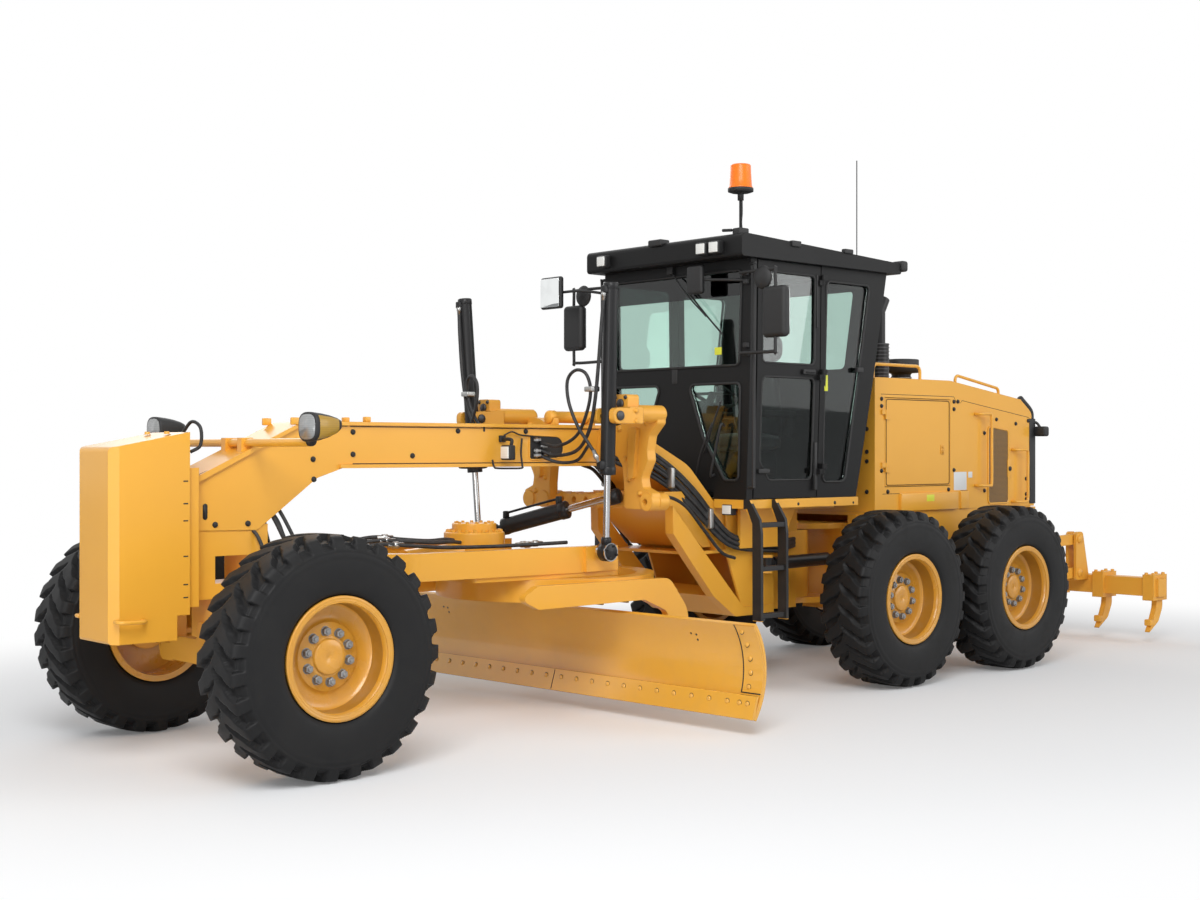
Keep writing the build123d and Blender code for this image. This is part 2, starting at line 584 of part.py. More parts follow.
def seat():
    """Operator's seat: suspension box, cushion, back with headrest and armrests."""
    base = block((-4760, -4400), (-210, 210), (CAB_FLOOR_Z + SEAT, 1810))
    cushion = side_plate([(-4800, 1795), (-4300, 1795, 40), (-4300, 1930, 60), (-4800, 1900)],
                         -260, 260)
    back = side_plate([(-4830, 1850), (-4690, 1880, 30), (-4790, 2520, 40), (-4890, 2520, 40)],
                      -240, 240)
    headrest = side_plate([(-4875, 2490), (-4805, 2490), (-4815, 2720, 30), (-4895, 2720, 30)],
                          -140, 140)
    arms = [block((-4820, -4450), tuple(sorted((side * 262, side * 335))), (2060, 2110))
            for side in (1, -1)]
    posts = [block((-4820, -4765), tuple(sorted((side * 230, side * 270))), (2040, 2110))
             for side in (1, -1)]
    return fused([base, cushion, back, headrest] + arms + posts)


def steering_console():
    """Pedestal, column and steering wheel in front of the seat."""
    pedestal = side_plate([(-3960, CAB_FLOOR_Z + SEAT), (-4130, CAB_FLOOR_Z + SEAT), (-4200, 2080),
                           (-4060, 2180), (-3980, 2120)], -110, 110)
    hub_low, hub_high = Vector(-4120, 0, 2080), Vector(-4215, 0, 2240)
    column = rod(hub_low, hub_high, 60)
    along = (hub_high - hub_low).normalized()
    across = Vector(0, 1, 0)
    section = Plane(origin=hub_high + across * 190, x_dir=across, z_dir=across.cross(along))
    wheel = Solid.revolve(Face(section * Wire.make_circle(15)), 360, Axis(hub_high, along))
    spoke = rod(hub_high - across * 188, hub_high + across * 188, 24)
    return fused([pedestal, column, spoke, wheel])


def cab_door():
    """Left door: one framed sheet with an upper and a lower window opening."""
    front, rear = CAB_FRONT_X - WALL_T - 20 - DOOR_FRONT_GAP, CAB_DOOR_REAR_X
    sheet = side_sheet(rear, front, CAB_FLOOR_Z + GAP, CAB_TOP_Z - GAP, 0, WALL_T - 5)
    upper = side_plate([(rear + 60, 2440, 40), (front - 55, 2440, 40), (front - 55, 3110, 40),
                        (rear + 60, 3110, 40)], 600, 900)
    lower = side_plate([(rear + 60, 1580, 40), (front - 160, 1580, 50), (front - 55, 1720, 50),
                        (front - 55, 2340, 40), (rear + 60, 2340, 40)], 600, 900)
    hinges = [cab_hinge(z, -4575, -4535) for z in CAB_HINGES]
    return fused([sheet - upper - lower] + hinges)


def cab_hinge(z, x_low, x_high):
    """Half of a door hinge: barrel round the hinge line and a leaf let into the sheet."""
    barrel = rod((CAB_HINGE_X, CAB_HINGE_Y, z), (CAB_HINGE_X, CAB_HINGE_Y, z + 40 - SEAT), 24)
    leaf = block((x_low, x_high), (cab_half(z) - 20, CAB_HINGE_Y + 4), (z, z + 40 - SEAT))
    return barrel + leaf


def mirrors():
    """Mirror heads on tube loops from the A-posts, left and right."""
    post, out, low, high = CAB_FRONT_X + SEAT, 1070, 2500, 3080
    arm = bent_rod([(post, 740, high), (-3720, 740, high), (-3720, out, high), (-3720, out, low),
                    (-3720, 740, low), (post, 740, low)], 24, 30)
    head = block((-3755, -3685), (out - 110, out + 110), (2600, 2960))
    return both(arm + head)


def lamps():
    """Headlights on the light tube, roof work lights, beacon and whip antenna."""
    pieces = []
    for side in (1, -1):
        low, high = sorted((side * 820, side * 1000))
        pieces.append(side_plate([(-140, 1860, 20), (10, 1850, 20), (0, 2010, 30), (-110, 2010, 30)],
                                 low, high))
        pieces.append(rod((-70, side * (800 + SEAT), 1845), (-70, side * 822, 1845), 40))
    for y in (600, 470, -600):
        pieces.append(block((-3640 + SEAT, -3575), (y - 50, y + 50), (3220, 3310)))
    pieces.append(turned_z([(0, 0), (75, 0), (75, 30), (66, 35), (58, 175, 15), (0, 175)],
                           (-3720, 740, BEACON_Z)))
    return pieces


# ---------------------------------------------------------------- rear frame
def rear_frame():
    """Two rails with the articulation clevis, tanks, and the ripper's hitch plate."""
    rails = [block((-7780, -5480), (side * 300, side * 420), (850, 1180)) for side in (1, -1)]
    cross = [block((x, x + 100), (-420, 420), (870, 1160)) for x in (-5560, -6500, -7780)]
    plates = [flat_plate([(-5560, -300), (-5300, -250, 60), (ARTICULATION_X, -190, 180),
                          (ARTICULATION_X + 190, 0, 0), (ARTICULATION_X, 190, 180),
                          (-5300, 250, 60), (-5560, 300)], z, z + 45) for z in (571, 1165)]
    web = block((-5560, -5450), (-300, 300), (571, 1210))
    pin = rod((ARTICULATION_X, 0, 560), (ARTICULATION_X, 0, 1225), 100)
    tanks = [block((-7600, -5500), (side * 430, side * 545), (1000, 1290)) for side in (1, -1)]
    hangers = [block((x, x + 80), (-545, 545), (1100, 1180)) for x in (-5520, -6500, -7500)]
    deck = block((-7780, -5500), (-545, 545), (1270, HOOD_BOTTOM_Z - SEAT))
    posts = [block((x, x + 100), (side * 320, side * 410), (1170, 1280)) for side in (1, -1)
             for x in (-5560, -7700)]
    hitch = block((-7900, -7780), (-520, 520), (480, 1290))
    lugs = []
    for side in (1, -1):
        for y in (260, 340):
            y_pair = sorted((side * y, side * (y + 30)))
            for z in (RIPPER_LOW_Z, RIPPER_HIGH_Z):
                lugs.append(side_plate([(-7895, z - 70), (RIPPER_X, z - 55, 50), (RIPPER_X - 55, z, 30),
                                        (RIPPER_X, z + 55, 50), (-7895, z + 70)], *y_pair))
    pins = [rod((RIPPER_X, min(side * 260, side * 370), z), (RIPPER_X, max(side * 260, side * 370), z), 50)
            for side in (1, -1) for z in (RIPPER_LOW_Z, RIPPER_HIGH_Z)]
    tow = flat_plate([(-7895, -110), (-7960, -90, 40), (-8010, 0, 60), (-7960, 90, 40), (-7895, 110)],
                     490, 530)
    tow_bore = rod((TOW_REAR_X, 0, 480), (TOW_REAR_X, 0, 540), 2 * TOW_BORE_R)
    arm_x, arm_y, arm_z = ART_REAR
    arms = [flat_plate([(-5500, side * 300), (-5440, side * (arm_y - 70), 20),
                        (arm_x + 45, side * (arm_y - 40), 20), (arm_x + 45, side * (arm_y + 40), 20),
                        (-5440, side * (arm_y + 60), 20), (-5560, side * 420)],
                       arm_z - 76, arm_z - 52) for side in (1, -1)]
    return fused(rails + cross + plates + [web, pin] + tanks + hangers + [deck] + posts
                 + [hitch, tow - tow_bore] + lugs + pins + arms)


def engine_block():
    return block((-7050, -5900), (-330, 330), (HOOD_BOTTOM_Z + SEAT, 1950))


def hood_outline(inset):
    return [(HOOD_FRONT_X - inset, HOOD_BOTTOM_Z), (HOOD_FRONT_X - inset, HOOD_TOP_Z - inset, 20),
            (-6550, HOOD_TOP_Z - inset, 200), (-7640, 2250 - inset, 100),
            (HOOD_REAR_X + inset, 2110 - inset, 40), (HOOD_REAR_X + inset, HOOD_BOTTOM_Z)]


def engine_hood():
    """Hollow hood with a door opening each side, a rear grille opening and roof rails."""
    shell = side_plate(hood_outline(0), -HOOD_HALF_W, HOOD_HALF_W)
    hollow = side_plate(hood_outline(HOOD_T), -HOOD_HALF_W + HOOD_T, HOOD_HALF_W - HOOD_T)
    hollow = hollow + Pos(0, 0, -20) * hollow
    doors = block(DOOR_X, (-700, 700), DOOR_Z)
    grille = block((HOOD_REAR_X - 50, HOOD_REAR_X + 100), (-440, 440), (1400, 2050))
    cap = rod((-6600, 0, HOOD_TOP_Z - 20), (-6600, 0, 2480), 160)
    cap_top = rod((-6600, 0, 2480), (-6600, 0, 2590), 300)
    rails = []
    for side in (1, -1):
        rails.append(bent_rod([(-5560, side * 500, 2370), (-5560, side * 500, 2500),
                               (-6190, side * 500, 2500), (-6190, side * 500, 2370)], 26, 50))
        rails.append(bent_rod([(-6690, side * 500, 2350), (-6690, side * 500, 2445),
                               (-7340, side * 500, 2345), (-7340, side * 500, 2260)], 26, 40))
    hinges = [half for z in HOOD_HINGES for half in both(hood_hinge(z + 40, HOOD_HINGE_X + 4, -5600))]
    return fused([shell - hollow - doors - grille, cap, cap_top] + rails + hinges)


def hood_door():
    x_low, x_high = DOOR_X[0] + GAP, DOOR_X[1] - GAP
    sheet = block((x_low, x_high), (HOOD_HALF_W - HOOD_T, HOOD_HALF_W),
                  (DOOR_Z[0] + GAP, DOOR_Z[1] - GAP))
    return fused([sheet] + [hood_hinge(z, -5700, HOOD_HINGE_X) for z in HOOD_HINGES])


def hood_hinge(z, x_low, x_high):
    """Half of a hood door hinge, its leaf over the sheet's edge."""
    barrel = rod((HOOD_HINGE_X, HOOD_HINGE_Y, z), (HOOD_HINGE_X, HOOD_HINGE_Y, z + 40 - SEAT), 18)
    leaf = block((x_low, x_high), (HOOD_HALF_W - 8, HOOD_HINGE_Y + 2), (z, z + 40 - SEAT))
    return barrel + leaf


def radiator_grille():
    """Frame with louvre slats in the hood's rear opening."""
    frame = block((HOOD_REAR_X, HOOD_REAR_X + HOOD_T), (-440 + SEAT, 440 - SEAT),
                  (1400 + SEAT, 2050 - SEAT))
    opening = block((HOOD_REAR_X - 20, HOOD_REAR_X + 60), (-400, 400), (1440, 2010))
    slats = [block((HOOD_REAR_X + 2, HOOD_REAR_X + HOOD_T - 2), (-405, 405), (z, z + 14))
             for z in range(1480, 2000, 60)]
    return fused([frame - opening] + slats)


def rear_axle():
    """Differential housing across the frame, with a tandem case on each trunnion."""
    housing = block((-6150, -5620), (-290, 290), (480, 900))
    trunnion = rod((-5882, -600, AXLE_Z), (-5882, 600, AXLE_Z), 330)
    saddle = block((-6100, -5680), (-430, 430), (780, 850 - SEAT))
    return fused([housing, trunnion, saddle] + both(tandem_case()))


def tandem_case():
    """Left chain case between the two rear wheels, with a wheel hub at both ends."""
    r = 210
    front, rear = TANDEM_FRONT_X, TANDEM_REAR_X
    case = side_plate([(front + r, AXLE_Z - r, r - 1), (front + r, AXLE_Z + r, r - 1),
                       (rear - r, AXLE_Z + r, r - 1), (rear - r, AXLE_Z - r, r - 1)], 590, 780)
    hubs = []
    for x in (front, rear):
        back = TRACK_HALF + DISC_BACK - SEAT
        hubs.append(rod((x, 770, AXLE_Z), (x, back, AXLE_Z), 200))
        hubs.append(rod((x, TRACK_HALF, AXLE_Z), (x, back, AXLE_Z), 300))
    return fused([case] + hubs)


def exhaust_stack():
    pipe = rod((-6050, 180, HOOD_TOP_Z + SEAT), (-6050, 180, 2980), 110)
    guard = rod((-6050, 180, HOOD_TOP_Z + SEAT), (-6050, 180, 2700), 170)
    outlet = rod((-6050, 180, 2960), (-6120, 180, 3080), 100)
    return fused([pipe, guard, outlet])


# ---------------------------------------------------------------- drawbar, circle and blade
def drawbar():
    """A-frame from the front ball to the plate over the circle, with the circle drive."""
    ball = Pos(DRAWBAR_BALL_X, 0, DRAWBAR_BALL_Z) * Sphere(65)
    neck = rod((DRAWBAR_BALL_X, 0, DRAWBAR_BALL_Z), (-620, 0, 1010), 95)
    beams = []
    for side in (1, -1):
        outer = [(-520, side * -20), (-520, side * 60), (-700, side * 205, 100),
                 (-1060, side * 450, 150), (-2640, side * 600), (-2640, side * 540),
                 (-1090, side * 380, 150), (-720, side * -20)]
        beams.append(flat_plate(outer, 980, 1155))
    base = flat_plate([(-1500, -470, 40), (-1500, 470, 40), (-2640, 600, 60), (-2920, 330, 90),
                       (-2920, -330, 90), (-2640, -600, 60)], CIRCLE_TOP_Z + SEAT, 985)
    opening = turned_z([(0, 900), (400, 900), (400, 1100), (0, 1100)], (-2350, 0, 0))
    upright = [side_plate([(-2350, 985), (-2640, 985), (-2640, 1150, 40), (-2350, 1155)],
                          *sorted((side * 540, side * 602))) for side in (1, -1)]
    studs = [rod((LIFT_BALL[0], side * 590, LIFT_BALL[2]), (LIFT_BALL[0], side * 655, LIFT_BALL[2]), 32)
             for side in (1, -1)]
    drive = turned_z([(0, 975), (235, 975), (235, 1000), (205, 1010), (205, 1250, 10), (150, 1255),
                      (150, 1310, 10), (0, 1310)], (-1870, 0, 0))
    motor = rod((-1700, 60, 1120), (-1250, 60, 1090), 130)
    cross = block((-1300, -1200), (-400, 400), (990, 1120))
    bx, by, bz = SHIFT_BASE
    mounts = [block((bx - 60, bx + 60), (by - 42, by + 42), (1100, bz - 24)) - Pos(bx, by, bz) * Sphere(40 + SEAT)]
    return fused([ball, neck] + beams + [base - opening] + upright + studs + [drive, motor, cross] + mounts)


def turned_blade(shape):
    """Turns a piece of the circle group to the blade's parked angle."""
    return shape.rotate(Axis((CIRCLE_X, 0, 0), (0, 0, 1)), BLADE_TURN)


def circle():
    """Ring with both blade arms welded to it; the arms reach down behind the blade."""
    ring = turned_z([(CIRCLE_R - CIRCLE_BAND, CIRCLE_BOTTOM_Z), (CIRCLE_R, CIRCLE_BOTTOM_Z),
                     (CIRCLE_R, CIRCLE_TOP_Z), (CIRCLE_R - CIRCLE_BAND, CIRCLE_TOP_Z)], (CIRCLE_X, 0, 0))
    arms = []
    for side in (1, -1):
        outline = [(-1540, 865, 30), (-1700, 940, 60), (-2930, 925, 120), (-3128, 685, 190),
                   (-3080, 250, 60), (-2960, 250, 60), (-2890, 330, 40), (-2960, 560, 100),
                   (-2900, 700, 80), (-2680, 790, 100), (-1700, 790, 60)]
        arms.append(side_plate(outline, side * 740, side * 794))
    tilt_bore = rod((TILT_X, -900, TILT_Z), (TILT_X, 900, TILT_Z), 70.6)
    ties = [block((x, x + 60), (-745, 745), (CIRCLE_BOTTOM_Z, CIRCLE_BOTTOM_Z + 40)) for x in (-3060,)]
    return turned_blade(fused([ring] + arms + ties) - tilt_bore)


def blade_bracket():
    """Pivot shaft across the arms with two jaws that hold the blade's rails."""
    shaft = rod((TILT_X, -820, TILT_Z), (TILT_X, 820, TILT_Z), 70)
    pieces = [shaft]
    for side in (1, -1):
        jaw = side_plate([(-3000, 300, 30), (-2930, 270, 30), (-2762, 205), (-2762, 255),
                          (-2800, 255), (-2800, 305), (-2762, 305), (-2762, 520), (-2800, 520),
                          (-2800, 570), (-2762, 570), (-2762, 620), (-2840, 620, 30), (-3000, 380, 30)],
                         *sorted((side * 560, side * 700)))
        pieces.append(jaw)
    barrel = rod((-2850, -720, 420), (-2850, 720, 420), 90)
    bore = rod((-2850, -730, 420), (-2850, 730, 420), 44.6)
    return turned_blade(fused(pieces + [barrel]) - bore)


def blade_section(offset_low, offset_high):
    """Curved moldboard section between two offsets behind its front face."""
    top_z = BLADE_BOTTOM_Z + BLADE_HEIGHT
    half = BLADE_HEIGHT / 2
    radius = (half ** 2 + BLADE_SAG ** 2) / (2 * BLADE_SAG)
    centre_x, centre_z = BLADE_X - BLADE_SAG + radius, BLADE_BOTTOM_Z + half
    start = asin(half / radius)
    def arc(r):
        return [Vector(centre_x - r * cos(a), -BLADE_LENGTH / 2, centre_z + r * sin(a))
                for a in (-start, 0, start)]
    inner, outer = arc(radius + offset_low), arc(radius + offset_high)
    return Wire([
        Edge.make_three_point_arc(*inner), Edge.make_line(inner[2], outer[2]),
        Edge.make_three_point_arc(*reversed(outer)), Edge.make_line(outer[0], inner[0]),
    ])


def moldboard():
    """Curved plate with two slide rails on its back and the side-shift rod."""
    plate = Solid.extrude(Face(blade_section(0, BLADE_T)), Vector(0, BLADE_LENGTH, 0))
    rails = []
    for low, high in ((258, 302), (523, 567)):
        rails.append(side_plate([(-2797, low), (-2700, low), (-2670, (low + high) / 2), (-2700, high),
                                 (-2797, high)], -1300, 1300))
    rod_part = rod((-2850, -50, 420), (-2850, 1500, 420), 44)
    anchor = side_plate([(-2690, 380), (-2690, 460), (-2880, 450, 20), (-2880, 390, 20)], 1460, 1500)
    return turned_blade(fused([plate] + rails + [rod_part, anchor]))


def cutting_edge():
    """Wear edge along the bottom and an end bit at each end, on the blade's face."""
    edge = side_plate([(BLADE_X + 1, BLADE_BOTTOM_Z - 2), (BLADE_X + 21, BLADE_BOTTOM_Z - 2),
                       (BLADE_X - 24, 255), (BLADE_X - 44, 255)], -BLADE_LENGTH / 2, BLADE_LENGTH / 2)
    keep = edge - turned_section_solid()
    return turned_blade(keep)


def turned_section_solid():
    return Solid.extrude(Face(blade_section(-SEAT, BLADE_T + 60)), Vector(0, BLADE_LENGTH, 0))


# ---------------------------------------------------------------- cylinders
def along(start, end, distance):
    start, end = Vector(*start), Vector(*end)
    return start + (end - start).normalized() * distance


def lift_barrel():
    span = (Vector(*LIFT_YOKE) - Vector(*LIFT_BALL)).length
    low = along(LIFT_BALL, LIFT_YOKE, span - 390)
    high = along(LIFT_BALL, LIFT_YOKE, span + 850)
    body = tube(low, high, LIFT_BARREL_D, LIFT_ROD_D + 0.6)
    cap = rod(along(LIFT_BALL, LIFT_YOKE, span + 840), along(LIFT_BALL, LIFT_YOKE, span + 880), LIFT_BARREL_D)
    reach = LIFT_BARREL_D / 2 + YOKE_GAP + YOKE_PRONG_T - 10
    trunnion = rod((LIFT_YOKE[0], LIFT_YOKE[1] - reach, LIFT_YOKE[2]),
                   (LIFT_YOKE[0], LIFT_YOKE[1] + reach, LIFT_YOKE[2]), TRUNNION_D)
    bore = rod(low, along(LIFT_BALL, LIFT_YOKE, span + 840), LIFT_ROD_D + 0.6)
    return fused([body, cap, trunnion - bore])


def lift_rod():
    span = (Vector(*LIFT_YOKE) - Vector(*LIFT_BALL)).length
    shaft = rod(along(LIFT_BALL, LIFT_YOKE, 40), along(LIFT_BALL, LIFT_YOKE, span + 400), LIFT_ROD_D)
    cap_inner, cap_outer = 646, 735
    cap = rod((LIFT_BALL[0], cap_inner, LIFT_BALL[2]), (LIFT_BALL[0], cap_outer, LIFT_BALL[2]), 124)
    hollow = rod((LIFT_BALL[0], cap_inner - 1, LIFT_BALL[2]), (LIFT_BALL[0], 700, LIFT_BALL[2]), 96)
    return fused([shaft, cap]) - hollow


def articulation_barrel():
    body_end = along(ART_FRONT, ART_REAR, 800)
    body = rod(along(ART_FRONT, ART_REAR, 70), body_end, 100)
    x, y, z = ART_FRONT
    eye = rod((x, y, z - 47), (x, y, z + 47), 84)
    neck = rod(along(ART_FRONT, ART_REAR, 0), along(ART_FRONT, ART_REAR, 80), 60)
    bore = rod(along(ART_FRONT, ART_REAR, 150), along(ART_FRONT, ART_REAR, 801), 50.6)
    pin_bore = rod((x, y, z - 60), (x, y, z + 60), 36.6)
    return fused([body, eye, neck]) - bore - pin_bore


def articulation_rod():
    shaft = rod(along(ART_REAR, ART_FRONT, 30), along(ART_REAR, ART_FRONT, 850), 50)
    x, y, z = ART_REAR
    eye = rod((x, y, z - 46), (x, y, z + 46), 84)
    return shaft + eye


def shift_barrel():
    bx, by, bz = SHIFT_BASE
    body = rod(along(SHIFT_BASE, SHIFT_EYE, 95), along(SHIFT_BASE, SHIFT_EYE, 600), 120)
    eye = Pos(bx, by, bz) * Sphere(40)
    neck = rod(SHIFT_BASE, along(SHIFT_BASE, SHIFT_EYE, 110), 44)
    bore = rod(along(SHIFT_BASE, SHIFT_EYE, 130), along(SHIFT_BASE, SHIFT_EYE, 601), 50.6)
    return fused([body, eye, neck]) - bore


def shift_rod():
    shaft = rod(along(SHIFT_EYE, SHIFT_BASE, 0), along(SHIFT_EYE, SHIFT_BASE, 560), 50)
    eye = rod(along(SHIFT_EYE, SHIFT_BASE, -45), along(SHIFT_EYE, SHIFT_BASE, 45), 110)
    return shaft + eye


# ---------------------------------------------------------------- ripper


def ripper_link(z, half_pair):
    """Pair of flat links from the hitch pins back to the ripper's uprights."""
    pieces = []
    rise = 30
    for side in (1, -1):
        y_low, y_high = sorted((side * half_pair[0], side * half_pair[1]))
        link = side_plate([(RIPPER_X + 50, z - 50, 49), (RIPPER_X + 50, z + 50, 49),
                           (RIPPER_TOOL_X - 50, z + rise + 50, 49), (RIPPER_TOOL_X - 50, z + rise - 50, 49)],
                          y_low, y_high)
        bores = [rod((RIPPER_X, y_low - 5, z), (RIPPER_X, y_high + 5, z), 50.6),
                 rod((RIPPER_TOOL_X, y_low - 5, z + rise), (RIPPER_TOOL_X, y_high + 5, z + rise), 50.6)]
        pieces.append(link - bores[0] - bores[1])
    tie = block((-8480, -8400), (-half_pair[0] - 5, half_pair[0] + 5), (z - 15, z + 35))
    return fused(pieces + [tie])


def ripper_beam():
    """Uprights with their pins, cross beam, tine holders and tines."""
    pieces = []
    for side in (1, -1):
        for y in (258, 342):
            y_low, y_high = sorted((side * y, side * (y + 28)))
            pieces.append(side_plate([(-8840, 560, 30), (-8840, 1020, 40), (-8960, 1020, 40),
                                      (-9060, 620, 30), (-9060, 560, 10)], y_low, y_high))
        for z in (RIPPER_LOW_Z + 30, RIPPER_HIGH_Z + 30):
            low, high = sorted((side * 258, side * 370))
            pieces.append(rod((RIPPER_TOOL_X, low, z), (RIPPER_TOOL_X, high, z), 50))
    beam = block((-9200, -9050), (-1100, 1100), (435, 605))
    for y in RIPPER_TINES:
        pieces.append(block((-9250, -9000), (y - 55, y + 55), (400, 640)))
        pieces.append(side_plate([(-9140, 640), (-9210, 640), (-9225, 330, 120), (-9150, 200, 60),
                                  (-8985, 108), (-9040, 190, 60), (-9110, 330, 100)], y - 25, y + 25))
    return fused(pieces + [beam])


# ---------------------------------------------------------------- write every node
os.makedirs("parts", exist_ok=True)
for wheel_name, station, which in WHEELS:
    save(f"rim_{wheel_name}", rim(station, which))
    save(f"tyre_{wheel_name}", tyre(station, which))
for node_name, make in (
    ("lean_yoke", lean_yoke), ("knuckle", knuckle), ("cab_door", cab_door),
    ("hood_door", hood_door), ("lift_barrel", lift_barrel), ("lift_rod", lift_rod),
    ("articulation_barrel", articulation_barrel), ("articulation_rod", articulation_rod),
):
    left = make()
    save(f"{node_name}_left", left)
    save(f"{node_name}_right", mirrored(left))
save("front_axle", front_axle())
save("lean_bar", lean_bar())
save("tie_rod_end", tie_rod_end())
save("tie_rod", tie_rod())
save("front_frame", front_frame())
save("push_block", push_block())
save("lift_arms", lift_arms())
save("cab_platform", cab_platform())
save("cab_front_wall", cab_front_wall())
save("cab_rear_wall", cab_rear_wall())
save("cab_roof", cab_roof())
save("cab_windows", *cab_windows())
save("seat", seat())
save("steering_console", steering_console())
save("mirrors", *mirrors())
save("lamps", *lamps())
save("rear_frame", rear_frame())
save("engine_block", engine_block())
save("engine_hood", engine_hood())
save("radiator_grille", radiator_grille())
save("rear_axle", rear_axle())
save("exhaust_stack", exhaust_stack())
save("drawbar", drawbar())
save("circle", circle())
save("blade_bracket", blade_bracket())
save("moldboard", moldboard())
save("cutting_edge", cutting_edge())
save("shift_barrel", shift_barrel())
save("shift_rod", shift_rod())
save("ripper_lower_link", ripper_link(RIPPER_LOW_Z, (295, 335)))
save("ripper_upper_link", ripper_link(RIPPER_HIGH_Z, (295, 335)))
save("ripper_beam", ripper_beam())
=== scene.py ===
from math import cos, pi, radians, sin, sqrt
import bmesh
import bpy
import numpy as np
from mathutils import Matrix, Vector


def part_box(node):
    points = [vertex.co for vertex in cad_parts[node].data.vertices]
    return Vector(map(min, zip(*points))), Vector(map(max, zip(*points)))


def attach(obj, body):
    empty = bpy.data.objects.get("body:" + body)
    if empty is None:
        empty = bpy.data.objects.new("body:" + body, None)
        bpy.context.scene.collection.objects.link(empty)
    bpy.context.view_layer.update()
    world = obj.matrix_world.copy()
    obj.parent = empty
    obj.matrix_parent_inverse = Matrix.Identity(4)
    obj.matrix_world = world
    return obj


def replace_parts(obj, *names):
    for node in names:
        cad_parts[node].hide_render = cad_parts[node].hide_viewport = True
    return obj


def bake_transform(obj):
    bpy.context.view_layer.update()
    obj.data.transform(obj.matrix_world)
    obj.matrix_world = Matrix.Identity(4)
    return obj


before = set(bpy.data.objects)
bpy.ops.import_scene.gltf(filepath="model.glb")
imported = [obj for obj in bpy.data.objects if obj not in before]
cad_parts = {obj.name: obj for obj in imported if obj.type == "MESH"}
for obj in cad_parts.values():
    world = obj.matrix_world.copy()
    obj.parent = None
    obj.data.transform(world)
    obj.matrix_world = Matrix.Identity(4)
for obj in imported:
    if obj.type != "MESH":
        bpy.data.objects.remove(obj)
scene = bpy.context.scene
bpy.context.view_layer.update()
print("frame loaded")

axleX = sum(corner[0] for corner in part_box("rim_front_left")) / 2


def at(x, y, z):
    # a point by its station from the front axle, in metres
    return np.array([x + axleX, y, z])


def spots(rows):
    # the same for a list of points
    return np.array(rows, float) + np.array([axleX, 0, 0])


# every shape below is a part: its points and its faces
def meshed(name, parts, material, smooth=True, outward=False):
    # one object from several (points, faces) parts; faces are rows of four or lists of corners
    points, faces, start = [], [], 0
    for partPoints, partFaces in parts:
        points.append(np.asarray(partPoints, float).reshape(-1, 3))
        faces += [[i + start for i in face] for face in partFaces] if isinstance(partFaces, list) \
            else (partFaces + start).tolist()
        start += len(points[-1])
    mesh = bpy.data.meshes.new(name)
    mesh.from_pydata(np.concatenate(points).tolist(), [], faces)
    mesh.polygons.foreach_set("use_smooth", np.full(len(faces), smooth))
    mesh.update()
    if outward:
        shell = bmesh.new()
        shell.from_mesh(mesh)
        bmesh.ops.recalc_face_normals(shell, faces=shell.faces)
        shell.to_mesh(mesh)
        shell.free()
    piece = bpy.data.objects.new(name, mesh)
    scene.collection.objects.link(piece)
    piece.data.materials.append(material)
    return piece


def gridFaces(rows, columns, loopRows=False, loopColumns=False):
    # quads between neighbours of a rows x columns grid, closed where asked
    i = np.arange(rows if loopRows else rows - 1)
    j = np.arange(columns if loopColumns else columns - 1)
    i, j = (a.ravel() for a in np.meshgrid(i, j, indexing="ij"))
    after, beside = (i + 1) % rows, (j + 1) % columns
    return np.stack([i * columns + j, after * columns + j, after * columns + beside,
                     i * columns + beside], 1)


def turned(profile, centre, axis="y", sides=48, flip=False):
    # surface of revolution: a point (r, h) of the profile goes to r away from the axis and h along it
    profile = np.array(profile, float)
    angle = np.linspace(0, 2 * pi, sides, endpoint=False)
    r, h = profile[:, 0][None, :], profile[:, 1][None, :] + 0 * angle[:, None]
    a, b = r * np.cos(angle)[:, None], r * np.sin(angle)[:, None]
    places = {"x": (h, a, b), "y": (b, h, a), "z": (a, b, h)}
    points = np.stack(places[axis], -1).reshape(-1, 3) + np.asarray(centre)
    faces = gridFaces(sides, len(profile), True, False)
    return points, faces[:, ::-1] if flip else faces


def facing(direction, part):
    # turns a part made along +Z so that its Z lies along the direction
    z = np.asarray(direction, float)
    z = z / np.linalg.norm(z)
    x = np.cross([0, 1, 0] if abs(z[1]) < 0.9 else [1, 0, 0], z)
    x = x / np.linalg.norm(x)
    turn = np.stack([x, np.cross(z, x), z], 1)
    return part[0] @ turn.T, part[1]


def copies(part, places):
    # the same part at every place
    places = np.asarray(places, float).reshape(-1, 3)
    count = len(part[0])
    faces = np.asarray(part[1]) if not isinstance(part[1], list) else None
    points = (part[0][None] + places[:, None]).reshape(-1, 3)
    shift = np.arange(len(places)) * count
    if faces is not None:
        return points, (faces[None] + shift[:, None, None]).reshape(-1, faces.shape[1])
    return points, [[i + s for i in face] for s in shift.tolist() for face in part[1]]


def bolt(acrossFlats, height, ringBelowHead=0.0, sides=6):
    # hexagon head with a chamfered top, standing on z = 0
    r = acrossFlats / sqrt(3)
    head = stud([(0, height), (r * 0.84, height), (r, height * 0.86), (r, 0)], sides)
    parts = [head]
    if ringBelowHead:
        parts.append(stud([(0, 0.0022), (ringBelowHead, 0.002), (ringBelowHead, 0)], 18))
    return joined(parts)


def joined(parts):
    # several parts as one, all with faces of four corners
    points, faces, start = [], [], 0
    for partPoints, partFaces in parts:
        points.append(partPoints)
        faces.append(np.asarray(partFaces) + start)
        start += len(partPoints)
    return np.concatenate(points), np.concatenate(faces)


